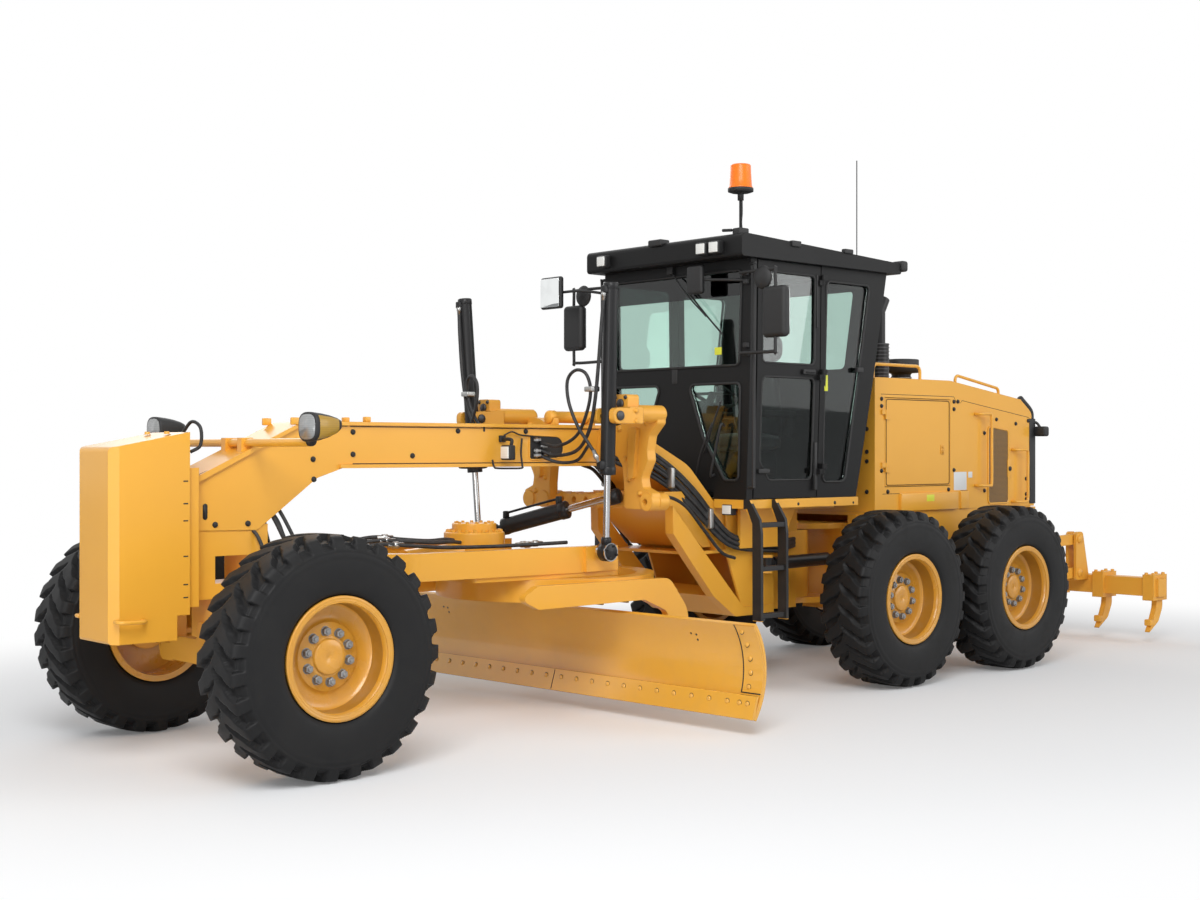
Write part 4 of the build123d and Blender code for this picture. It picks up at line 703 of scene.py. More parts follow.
def roofPieces():
    settings, count = roofSettings, roofSettings["podSides"]
    housings, lenses, podReflections, podGlasses = [], [], [], []
    for x, y in settings["lights"]:
        housings.append(box((x - 0.002, y - 0.052, 3.218), (x + 0.06, y + 0.052, 3.312), 0.012))
        lenses.append(box((x + 0.052, y - 0.042, 3.228), (x + 0.066, y + 0.042, 3.302), 0.006))
    housings += bothSides(box((-5.565, 0.73, 3.215), (-5.49, 0.85, 3.3), 0.02))
    for side in (1, -1):
        # housing: rounded sections that grow towards the lens and hang from a sloping top
        y, rows = side * settings["podOut"], len(settings["podSize"])
        size, stations = np.array(settings["podSize"])[:, None], np.array(settings["podStations"])
        angle = np.linspace(0, 2 * pi, count, endpoint=False)
        square = lambda c: np.sign(c) * np.abs(c) ** 0.7
        points = np.stack([np.repeat(stations[:, None], count, 1) + axleX,
                           y + size * 0.094 * square(np.cos(angle))[None],
                           1.95 - 0.019 * size + size * 0.082 * square(np.sin(angle))[None]], -1)
        points = np.concatenate([points.reshape(-1, 3),
            [at(stations[0], y, 1.948), at(stations[-1], y, 1.931)]])
        tip, last = rows * count, (rows - 1) * count
        caps = [[tip, (i + 1) % count, i] for i in range(count)]
        caps += [[tip + 1, last + i, last + (i + 1) % count] for i in range(count)]
        housings.append((points, gridFaces(rows, count, False, True)[:, ::-1].tolist() + caps))
        oval = np.stack([y + 0.083 * square(np.cos(angle)), 1.931 + 0.071 * square(np.sin(angle))], 1)
        podGlasses.append(plate(oval if side > 0 else oval[::-1],
            lambda a, b, h: np.stack([axleX + 0.0115 + h + 0 * a, a, b], 1), 0.0025))
        # painted reflection: the outward columns of the middle sections, 2 mm proud, coloured amber for the
        # yellow seen reflected in the glossy housing
        shell = points[:tip].reshape(rows, count, 3)[2:6][:, np.r_[34:40, 0:6]] + np.array([0, side * 0.002, 0])
        podReflections.append((shell.reshape(-1, 3), gridFaces(4, 12)[:, ::-1]))
        housings.append(cable([(-0.07, side * 0.8, 1.845), (-0.07, side * 0.835, 1.845),
            (-0.07, side * 0.85, 1.87)], 0.021, 12, 5))
    beacon = at(*settings["beacon"])
    dome = turned([(0.0, 0.208), (0.066, 0.207), (0.0725, 0.201), (0.074, 0.192), (0.0755, 0.14),
        (0.0765, 0.138), (0.0785, 0.09), (0.0795, 0.088), (0.082, 0.048), (0.087, 0.044), (0.0875, 0.034),
        (0.0, 0.034)], beacon, "z", 48, True)
    base = turned([(0, 0.0365), (0.091, 0.0365), (0.093, 0.032), (0.092, 0.012), (0.07, 0.004), (0.0, 0.0)],
        beacon, "z", 48, True)
    housings += [base, turned([(0, 0.03), (0.024, 0.03), (0.022, -0.05), (0, -0.05)], beacon, "z", 20,
        True),
        cable([(-3.745, 0.73, 3.64), (-3.752, 0.725, 3.52), (-3.735, 0.735, 3.44), (-3.74, 0.74, 3.37)], 0.005,
        8), box((-3.77, 0.7, 3.335), (-3.67, 0.78, 3.4), 0.012),
        cable([(-3.67, 0.7, 3.385), (-3.66, 0.62, 3.39)], 0.011, 10)]
    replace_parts(fix("lampHousings", housings, grainBlack), "lamps")
    fix("lampLenses", lenses, lampWhite)
    fix("sideLampGlasses", podGlasses, lampClear)
    fix("beaconDome", [dome], beaconOrange)
    fix("podReflectionStrips", podReflections, podPaintedReflection)
    clamps = [box((x - 0.05, 0.8, 3.3), (x + 0.05, 0.842, top), 0.008) for x, top in ((-4.225, 3.345),
        (-4.835, 3.335))]
    clamps += [box((-3.72, -0.12, 3.335), (-3.62, 0.02, 3.385), 0.012),
        box((-5.12, 0.68, 3.28), (-5.08, 0.72, 3.32), 0.008)]
    fix("roofFixtures", clamps, grainBlack)


mirrorSettings = {"out": 1.07, "halfWidth": 0.112, "podOut": 0.955, "bracket": 0.742, "arm": 0.0122,
    "pod": [(0, 0.022), (0.04, 0.02), (0.078, 0.006), (0.085, -0.004), (0.08, -0.012), (0, -0.012)],
    "podGlass": [(0, -0.0125), (0.076, -0.0122), (0.078, -0.016), (0, -0.019)]}


def mirrorPieces():
    backs, faces, settings = [], [], mirrorSettings
    for side in (1, -1):
        y, pod, bracket = side * settings["out"], side * settings["podOut"], side * settings["bracket"]
        low, high = sorted((y - settings["halfWidth"], y + settings["halfWidth"]))
        backs += [box((-3.69, low, 2.598), (-3.765, high, 2.962), 0.036, 6),
            turned(settings["pod"], at(-3.715, pod, 3.03), "x", 36, True),
            cable([(-3.715, pod, 3.03), (-3.72, pod, 3.08)], 0.009, 8,
            4),
            cable([(-3.789, bracket, 3.08), (-3.74, bracket, 3.08), (-3.72, side * 0.762, 3.08),
            (-3.72, side * 1.045, 3.08), (-3.72, y, 3.05), (-3.72, y, 2.53), (-3.72, side * 1.045, 2.5),
            (-3.72, side * 0.762, 2.5), (-3.74, bracket, 2.5), (-3.789, bracket, 2.5)], settings["arm"], 12, 5),
            box((-3.735, side * 1.055, 2.8), (-3.695, side * 1.085, 2.84), 0.01)]
        faces += [box((-3.768, low + 0.018, 2.62), (-3.764, high - 0.018, 2.94), 0.0018),
            turned(settings["podGlass"], at(-3.715, pod, 3.03), "x", 36, True)]
        for z in (2.5, 3.08, 2.56, 3.02):
            backs.append(box((-3.79, side * 0.725, z - 0.018), (-3.755, side * 0.765, z + 0.018), 0.006))
    backs += [cable([(-3.78, -0.76, 3.04), (-3.62, -0.88, 3.06), (-3.52, -1.08, 3.05)], 0.011, 10),
        box((-3.5, -1.237, 2.925), (-3.545, -0.985, 3.18), 0.022, 5),
        cable([(-3.785, 0.74, 3.03), (-3.72, 0.6, 3.04), (-3.68, 0.42, 3.05)], 0.011, 10),
        box((-3.655, 0.25, 2.95), (-3.7, 0.41, 3.16), 0.03, 4)]
    faces.append(box((-3.5005, -1.222, 2.94), (-3.494, -1.0, 3.165), 0.003))
    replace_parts(fix("mirrorHeads", backs, grainBlack), "mirrors")
    fix("mirrorFaces", faces, mirrorSilver)


def cushionShape(low, high, power=3.2, crown=0.02, channels=3):
    # superellipsoid whose top swells by the crown and is drawn in along sewn channels
    low, high = np.minimum(low, high), np.maximum(low, high)
    u = np.linspace(-pi / 2, pi / 2, 40)[:, None]
    v = np.linspace(-pi, pi, 72, endpoint=False)[None]
    bend = lambda c: np.sign(c) * np.abs(c) ** (2 / power)
    unit = np.stack([bend(np.cos(u)) * bend(np.cos(v)), bend(np.cos(u)) * bend(np.sin(v)),
        bend(np.sin(u)) + 0 * v], -1)
    half, centre = (high - low) / 2, (high + low) / 2
    rib = np.abs(np.sin(unit[..., 0] * pi * channels / 2)) ** 0.5
    swell = (1 - unit[..., 0] ** 2) * (1 - unit[..., 1] ** 2)
    unit = unit * half
    unit[..., 2] += np.sign(unit[..., 2]) * (crown * swell - 0.006 * (1 - rib) * swell ** 0.3)
    return (unit + centre).reshape(-1, 3), gridFaces(40, 72, False, True)[:, ::-1]


def leaned(part, pivot, angle):
    # turned about a line along Y through the pivot
    p = part[0] - pivot
    c, s = cos(angle), sin(angle)
    return np.stack([p[:, 0] * c + p[:, 2] * s, p[:, 1], -p[:, 0] * s + p[:, 2] * c], 1) + pivot, part[1]


seatSettings = {"lean": -81, "backPlace": [-0.41, 0, 1.86]}


def seatPieces():
    cushion = fix("seatCushion", [cushionShape(at(-4.8, -0.26, 1.8), at(-4.3, 0.26, 1.925), 3.6, 0.012, 4)],
        clothBlack)
    back = leaned(cushionShape(at(-4.35, -0.24, -0.05), at(-3.7, 0.24, 0.05), 3.6, 0.01, 5), at(-4.35, 0, 0),
        radians(seatSettings["lean"]))
    back = moved(back, seatSettings["backPlace"])
    rest = cushionShape(at(-4.895, -0.14, 2.5), at(-4.805, 0.14, 2.73), 2.8, 0.0, 1)
    backPiece = fix("seatBack", [back, rest], clothBlack)
    fix("seatBase", [box((-4.78, -0.22, 1.445), (-4.4, 0.22, 1.56), 0.02),
        box((-4.75, -0.2, 1.56), (-4.42, 0.2, 1.8), 0.06),
        box((-4.82, 0.262, 2.05), (-4.45, 0.335, 2.11), 0.025),
        box((-4.82, -0.335, 2.05), (-4.45, -0.262, 2.11), 0.025),
        box((-4.84, 0.225, 1.9), (-4.77, 0.275, 2.08), 0.015),
        box((-4.84, -0.275, 1.9), (-4.77, -0.225, 2.08), 0.015)], grainBlack)
    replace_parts(cushion, "seat")


doorGlass()
cabTrim()
roofPieces()
mirrorPieces()
seatPieces()
print("cab pieces made")

hoodSettings = {"side": 0.55, "fixing": (0.025, 0.012, 0.018), "screenRadius": 0.03,
    "screen": [(-7.108, 2.01), (-7.416, 1.975), (-7.416, 1.335), (-7.108, 1.335)]}


def hoodPieces():
    y = hoodSettings["side"]
    side = lambda x, z, out=0.0: at(x, y + out, z)
    black, dark, yellow, white, lime = [], [], [], [], []
    bolts = [(-5.605, 2.216), (-5.605, 2.158), (-5.605, 1.634), (-6.6, 2.213), (-6.657, 2.215), (-6.6, 2.149),
        (-6.6, 1.632), (-5.687, 1.464), (-6.522, 1.468), (-7.234, 2.07), (-7.535, 2.036), (-7.733, 2.065),
        (-7.701, 1.545), (-7.771, 1.451), (-7.701, 1.407), (-7.701, 1.364), (-6.62, 1.36), (-7.05, 1.45),
        (-7.05, 1.95), (-6.05, 1.42)]
    black.append(copies(facing((0, 1, 0), bolt(*hoodSettings["fixing"])), [side(*b) for b in bolts]))
    dark += [seamAndShadowLine([side(-5.6, 2.255), side(-6.6, 2.255), side(-6.64, 2.205), side(-6.7, 2.205),
        side(-6.72, 2.225), side(-7.74, 2.095), side(-7.8, 2.05)]),
        seamAndShadowLine([side(-5.62, 1.445), side(-6.625, 1.445), side(-6.625, 1.31)]),
        seamAndShadowLine([side(-6.7, 1.455), side(-6.8, 1.455), side(-6.8, 1.32)])]
    screen = rounded(hoodSettings["screen"], hoodSettings["screenRadius"])
    panel = plate(screen, onSide(y + 0.0015), 0.002)
    yellow.append(bead(sideLoop(screen, y + 0.003), 0.008))
    for x, top, low in ((-7.069, 2.113, 1.495), (-7.632, 1.804, 1.345)):
        yellow.append(hose([side(x + 0.155, top), side(x + 0.14, top, 0.055), side(x + 0.03, top, 0.065),
            side(x, top - 0.03, 0.065), side(x, (top + low) / 2, 0.065), side(x, low + 0.03, 0.065),
            side(x + 0.03, low, 0.065), side(x + 0.14, low, 0.055), side(x + 0.155, low)], 0.0125, 12, 6))
    yellow += [softBox(side(-7.4, 1.56, 0.0), side(-7.45, 1.72, 0.012), 0.005),
        softBox(side(-5.84, 1.3, -0.01), side(-6.625, 1.447, 0.028), 0.008),
        softBox(side(-6.69, 1.3, -0.01), side(-6.8, 1.452, 0.014), 0.006)]
    black += [turned([(0, 0.022), (0.018, 0.02), (0.022, 0.012), (0.022, 0.0)], side(-7.428, 1.637), "y", 24),
        turned([(0, 0.014), (0.016, 0.013), (0.02, 0.0)], side(-6.76, 1.36), "y", 20)]
    white += [softBox(side(-6.6, 1.46, 0.0005), side(-6.785, 1.615, 0.0015), 0.0004),
        softBox(side(-6.81, 1.565, 0.0005), side(-6.87, 1.615, 0.0015), 0.0004)]
    lime.append(softBox(side(-6.18, 1.375, 0.0275), side(-6.285, 1.43, 0.0287), 0.0004))
    edge = [box((-7.752, 0.515, 1.32), (-7.848, 0.557, 2.085), 0.008),
            cable([(-7.635, 0.528, 2.262), (-7.79, 0.528, 2.155), (-7.81, 0.528, 2.07)], 0.03, 12, 6)]
    lampBox = [box((-7.825, 0.545, 1.925), (-7.905, 0.665, 2.015), 0.02),
        cable([(-7.8, 0.53, 2.04), (-7.84, 0.565, 2.05), (-7.86, 0.6, 2.0)], 0.012, 10)]
    black += edge + lampBox
    fix("hoodBolts", paired(black), grainBlack, "rear_frame")
    fix("hoodSeams", paired(dark), rubberSealAndShade, "rear_frame")
    fix("hoodScreens", bothSides(panel), screenBrown, "rear_frame", smooth=False)
    fix("hoodHandles", paired(yellow), paintYellow, "rear_frame")
    fix("hoodLabels", paired(white), labelWhite, "rear_frame")
    fix("hoodCautions", paired(lime), labelYellow, "rear_frame")
    fix("rearLamps", bothSides(box((-7.902, 0.557, 1.94), (-7.91, 0.653, 2.0), 0.003)), lampRed, "rear_frame")
    for name, s in (("left", 1), ("right", -1)):
        latch = [softBox(side(-6.41, 1.765), side(-6.455, 1.845, 0.006),
            0.004),
            *(turned([(0, 0.012), (0.01, 0.011), (0.012, 0.0)], side(-6.432, z), "y", 20) for z in (1.785,
            1.825))]
        frameLine = rounded([(-5.668, 2.215, 0.02), (-6.532, 2.215, 0.02), (-6.532, 1.515, 0.02),
            (-5.668, 1.515, 0.02)], 0.02)
        fold = bead(sideLoop(frameLine, y + 0.0005), 0.004, 6)
        if s < 0:
            latch, fold = [mirror(p) for p in latch], mirror(fold)
        fix("hoodLatch_" + name, latch, castYellow, "hood_door_" + name)
        fix("hoodDoorFold_" + name, [fold], seamBrown, "hood_door_" + name)
    cap = turned([(0, 2.597), (0.11, 2.596), (0.148, 2.593), (0.1535, 2.588), (0.1535, 2.528), (0.152, 2.52),
        (0.152, 2.478), (0.112, 2.477), (0.092, 2.472), (0.083, 2.46), (0.083, 2.445), (0.09, 2.44),
        (0.09, 2.425), (0.083, 2.42), (0.0825, 2.388), (0, 2.388)], at(-6.6, 0, 0), "z", 60, True)
    filler = [box((-6.95, -0.1, 2.33), (-7.12, 0.1, 2.365),
        0.012),
        turned([(0, 2.4), (0.05, 2.398), (0.055, 2.385), (0.055, 2.3), (0, 2.3)], at(-6.98, 0.25, 0), "z", 30,
        True)]
    fix("airPrecleaner", [cap] + filler, grainBlack, "rear_frame")
    band = [turned([(0.0842, 2.436), (0.0915, 2.434), (0.0915, 2.429), (0.0842, 2.427)], at(-6.6, 0, 0), "z",
        48, True)]
    frontBolts = copies(facing((1, 0, 0), bolt(*hoodSettings["fixing"])),
        [at(-5.52, s * 0.47, z) for s in (1, -1) for z in (2.143, 1.972, 1.788, 1.71, 1.464)])
    fix("precleanerBand", band, zincFitting, "rear_frame")
    fix("hoodFrontBolts", [frontBolts], grainBlack, "rear_frame", smooth=False)
    rings = [turned([(0.088, z), (0.0895, z + 0.004), (0.088, z + 0.008)], at(-6.05, 0.18, 0), "z", 40,
        True) for z in np.arange(2.42, 2.69, 0.03)]
    fix("exhaustRings", rings, darkSteel, "rear_frame")


frameSettings = {"side": 0.142, "inlay": 0.1425, "cheek": 0.739, "pinOut": 0.112,
                 "large": (0.03, 0.016, 0.022), "middle": (0.026, 0.012, 0.018), "small": (0.02, 0.012, 0.014)}


def framePieces():
    settings = frameSettings
    cheek, pinOut, large = settings["cheek"], settings["pinOut"], bolt(*settings["large"])
    left = lambda x, z, out=0.0: at(x, settings["side"] + out, z)
    head = facing((0, 1, 0), bolt(*settings["middle"]))
    beamBoltsSeamsAndShade = [(-1.623, 1.928), (-2.204, 1.929), (0.155, 1.365), (-0.061, 1.366), (-0.511, 1.746),
        (-0.801, 1.915), (-0.801, 1.775), (-0.517, 1.622), (-1.256, 1.765)]
    parts = [copies(head, [left(*b) for b in beamBoltsSeamsAndShade]),
        seamAndShadowLine([left(-0.78, 1.949), left(-2.88, 1.949)], 0.003),
        seamAndShadowLine([left(-0.8, 1.716), left(-2.88, 1.716)], 0.003),
        softBox(left(-1.835, 1.925, 0.0), left(-1.85, 1.965, 0.004), 0.002)]
    # painted shade: the slot in the neck's side plate is a thin dark sheet
    slotShade = rounded([(0.205, 1.49, 0.015), (0.235, 1.49, 0.015), (0.235, 1.395, 0.015), (0.205, 1.395, 0.015)],
        0.015, 8)
    # painted shadow: the sloping dark line is the shade under the neck's top flange
    parts += [plate(slotShade, onSide(settings["inlay"]), 0.0015),
        seamAndShadowLine([left(0.295, 1.643, 0.0), left(-0.43, 1.951, 0.0), left(-0.76, 1.951, 0.0)], 0.003)]
    fix("beamBoltsSeamsAndShade", paired(parts), rubberSealAndShade)
    hole = rounded([(-2.236, 1.905, 0.02), (-2.236, 1.735, 0.02), (-2.545, 1.745, 0.07), (-2.545, 1.895, 0.07)],
        0.03, 8)
    # painted shade: a thin dark sheet fills the beam's opening, where its inside is in shade
    fix("beamOpeningShade", bothSides(plate(hole, onSide(settings["inlay"]), 0.0012)), rubberSealAndShade, smooth=False)
    rims = bothSides(bead(sideLoop(hole, 0.1445), 0.0055))
    loops = [cable([(0.345, 0.2, 1.79), (0.3, 0.235, 1.83), (0.3, 0.235, 1.93), (0.31, 0.15, 1.965),
        (0.33, 0.08, 1.9)], 0.01, 10)]
    lugs = paired([box((-0.34, 0.155, 1.955), (-0.4, 0.175, 2.0), 0.006),
        box((-0.9, 0.1, 1.978), (-0.94, 0.14, 2.012), 0.006)])
    fix("beamRims", rims + lugs, paintYellow)
    lamp = [box((-1.93, 0.205, 1.735), (-1.985, 0.305, 1.835), 0.012),
        cable([(-1.985, 0.255, 1.835), (-1.99, 0.25, 1.87), (-1.99, 0.16, 1.875)], 0.012, 10),
        box((-1.965, 0.142, 1.855), (-2.015, 0.165, 1.9), 0.006)]
    guard = [cable([(-1.9, 0.16, 1.735), (-1.895, 0.185, 1.69), (-1.91, 0.2, 1.68), (-2.02, 0.2, 1.678),
        (-2.12, 0.2, 1.68), (-2.135, 0.19, 1.7), (-2.14, 0.17, 1.78), (-2.16, 0.155, 1.88)], 0.0065, 10),
        cable([(-2.0, 0.158, 1.9), (-2.06, 0.17, 1.925), (-2.14, 0.16, 1.905), (-2.26, 0.158, 1.895)], 0.0055,
        8)]
    fix("beamLamp", paired(lamp + guard) + loops, grainBlack)
    fix("beamLampLens", bothSides(box((-1.933, 0.215, 1.745), (-1.924, 0.295, 1.825), 0.004)), lampWhite)
    valves = []
    for k, (x, z) in enumerate(((-2.27, 1.87), (-2.27, 1.8), (-2.27, 1.765), (-2.33, 1.83), (-2.36, 1.775))):
        valves.append(moved(facing((-0.9, 0.4,
            0.05 * (-1) ** k),
            stud([(0, 0.05), (0.01, 0.05), (0.012, 0.03), (0.016, 0.028), (0.016, 0.012), (0.012, 0.01),
            (0.012, 0), (0, 0)], 6, True)), at(x, 0.15, z)))
    fix("beamFittings", paired(valves), zincFitting, smooth=False)
    pins, covers = [], []
    disc = stud([(0, 0.016), (0.026, 0.015), (0.031, 0.01), (0.033, 0.0), (0, 0.0)], 30)
    cap = stud([(0, 0.022), (0.044, 0.02), (0.052, 0.012), (0.053, 0.0)], 40)
    ahead, back = (1, 0, 0), (-1, 0, 0)
    for s in (1, -1):
        pins += [copies(facing(ahead, disc),
            [at(-2.536, s * cheek, 2.1125)]),
            copies(facing(ahead, bolt(*settings["small"])),
            [at(-2.535, s * y, z) for y, z in ((0.69, 2.155), (0.788, 2.155), (0.69, 2.07), (0.788, 2.07))])]
        for way in (-1, 1):
            y = cheek + way * pinOut
            pins.append(copies(facing((0, s * way, 0), disc), [at(-2.425, s * (y + way * 0.0005), 2.03)]))
        covers += [copies(facing(back, cap),
            [at(-2.959, s * 0.69, 2.05)]),
            copies(facing((0, s, 0), bolt(0.026, 0.014, 0.018)),
            [at(x, s * (cheek + 0.1125), z) for x, z in ((-2.57, 1.995), (-2.57, 2.065))]),
            copies(facing(ahead, large), [at(-2.885, s * y, z) for y, z in ((0.36, 1.95), (0.24, 1.86),
            (0.62, 1.99), (0.42, 1.74), (0.56, 1.5), (0.45, 1.6))]),
            copies(facing(back, large), [at(-2.965, s * y, z) for y, z in ((0.3, 1.88), (0.52, 1.8),
            (0.52, 1.64))])]
    tube = stud([(0, 0.0), (0.036, 0.002), (0.046, 0.012), (0.048, 0.02), (0.048, 0.06), (0.042, 0.064),
        (0.042, 0.36), (0.048, 0.364), (0.048, 0.42), (0.04, 0.432), (0, 0.434)], 40, True)
    covers.append(moved(facing(back, tube), at(-2.52, 0.0, 2.034)))
    covers += [box((x, -0.055, 1.975), (x - 0.05, 0.055, 2.03), 0.008) for x in (-2.535, -2.88)]
    fix("yokePins", pins, darkSteel)
    fix("armBolts", covers, castYellow)
    # painted shade: thin dark strips in the push block's side slots
    slitShade = [box((0.372, 0.2245, z), (0.402, 0.227, z + 0.008), 0.001) for z in (1.62, 1.492, 1.394, 1.191, 1.03,
        0.956)]
    fix("blockSlotShade", paired(slitShade), rubberSealAndShade)
    blockBolts = [copies(facing((0, 0, 1), large),
        [at(0.45, y, 1.893) for y in (0.12, -0.12)]),
        *bothSides(cable([(0.655, 0.224, 0.845), (0.655, 0.262, 0.845), (0.685, 0.286, 0.845),
        (0.785, 0.286, 0.848), (0.815, 0.262, 0.85), (0.815, 0.224, 0.85)], 0.012, 10))]
    fix("blockLoops", blockBolts, paintYellow)


ladderSettings = {"stringers": (-3.789, -4.064), "thick": 0.025, "rungs": (0.59, 0.93, 1.245),
                  "path": [(0.715, 1.408), (0.762, 1.408), (0.835, 1.285), (0.8425, 1.2), (0.845, 0.575)],
                  "width": [0.034, 0.034, 0.0375, 0.0415, 0.0415],
                  "across": [(0.0, 1.0), (0.35, 0.94), (0.94, 0.35), (1.0, 0.0), (1.0, 0.0)]}


def ladderPieces():
    # black stringers and rungs, a skin over the platform's ladders
    parts = []
    path, width, across = (np.array(ladderSettings[key]) for key in ("path", "width", "across"))
    for x in ladderSettings["stringers"]:
        ring = np.stack([path + across * width[:, None], path - across * width[:, None]], 1)
        outline = np.concatenate([ring[:, 0], ring[::-1, 1]])
        parts.append(plate(outline, lambda a, b, h, x=x: np.stack([x + axleX - 0.0125 + h, a, b], 1),
            ladderSettings["thick"]))
    for z in ladderSettings["rungs"]:
        parts.append(box((-4.056, 0.809, z - 0.002), (-3.797, 0.871, z + 0.0305), 0.004))
    teeth = [box((x, 0.812, z + 0.03), (x + 0.012, 0.868, z + 0.0335), 0.001)
             for z in ladderSettings["rungs"] for x in np.arange(-4.04, -3.81, 0.03)]
    fix("ladderSteps", paired(parts), stepBlack, smooth=False)
    fix("ladderTreads", paired(teeth), darkSteel)
    rails = [cable([(-3.8, 0.752, 1.53), (-3.79, 0.8, 1.54), (-3.79, 0.802, 1.6), (-3.79, 0.806, 2.3),
        (-3.79, 0.812, 3.08), (-3.79, 0.812, 3.14), (-3.8, 0.765, 3.15)], 0.0125, 12, 6),
        cable([(-3.785, 0.42, 1.62), (-3.745, 0.42, 1.62), (-3.742, 0.47, 1.8), (-3.745, 0.52, 1.98),
        (-3.785, 0.52, 1.98)], 0.01, 10, 6), box((-4.99, 0.765, 2.4), (-5.06, 0.8, 2.44), 0.006)]
    lamp = [box((-3.775, 0.5, 1.325), (-3.83, 0.6, 1.405), 0.01)]
    fix("grabRails", paired(rails + lamp), grainBlack)
    fix("stepLamp", bothSides(box((-3.779, 0.508, 1.333), (-3.77, 0.592, 1.397), 0.003)), lampWhite)
    # painted shade: dark discs stand in for the holes in the platform's side
    holes = [turned([(0, 0.0015), (r, 0.001), (r, 0.0)], at(x, 0.745, z), "y", 24)
             for x, z, r in ((-4.35, 1.4, 0.012), (-4.777, 1.4, 0.014), (-5.0, 1.395, 0.01))]
    fix("platformHoleShade", paired(holes), rubberSealAndShade)


# gooseneck rows: station, side, height, share of the stagger, share of the pitch
hoseSettings = {"thin": 0.0115, "line": 0.0125, "bundle": 6, "pitch": 0.036, "stagger": 0.012, "drive": -1.87,
    "gooseneck": [(-2.9, 0.165, 1.9, 0, 0.7), (-3.02, 0.195, 1.88, 1, 1), (-3.2, 0.245, 1.83, 1, 1),
    (-3.42, 0.33, 1.68, 1, 0.95), (-3.6, 0.4, 1.5, 1, 0.9), (-3.76, 0.452, 1.3, 1, 0.7),
    (-3.9, 0.468, 1.18, 1, 0.5), (-4.1, 0.46, 1.13, 1, 0.42), (-4.34, 0.452, 1.11, 1, 0.4),
    (-4.52, 0.42, 1.1, 1, 0.4), (-4.7, 0.33, 1.1, 0, 0.35), (-4.86, 0.265, 1.1, 0, 0.3)]}


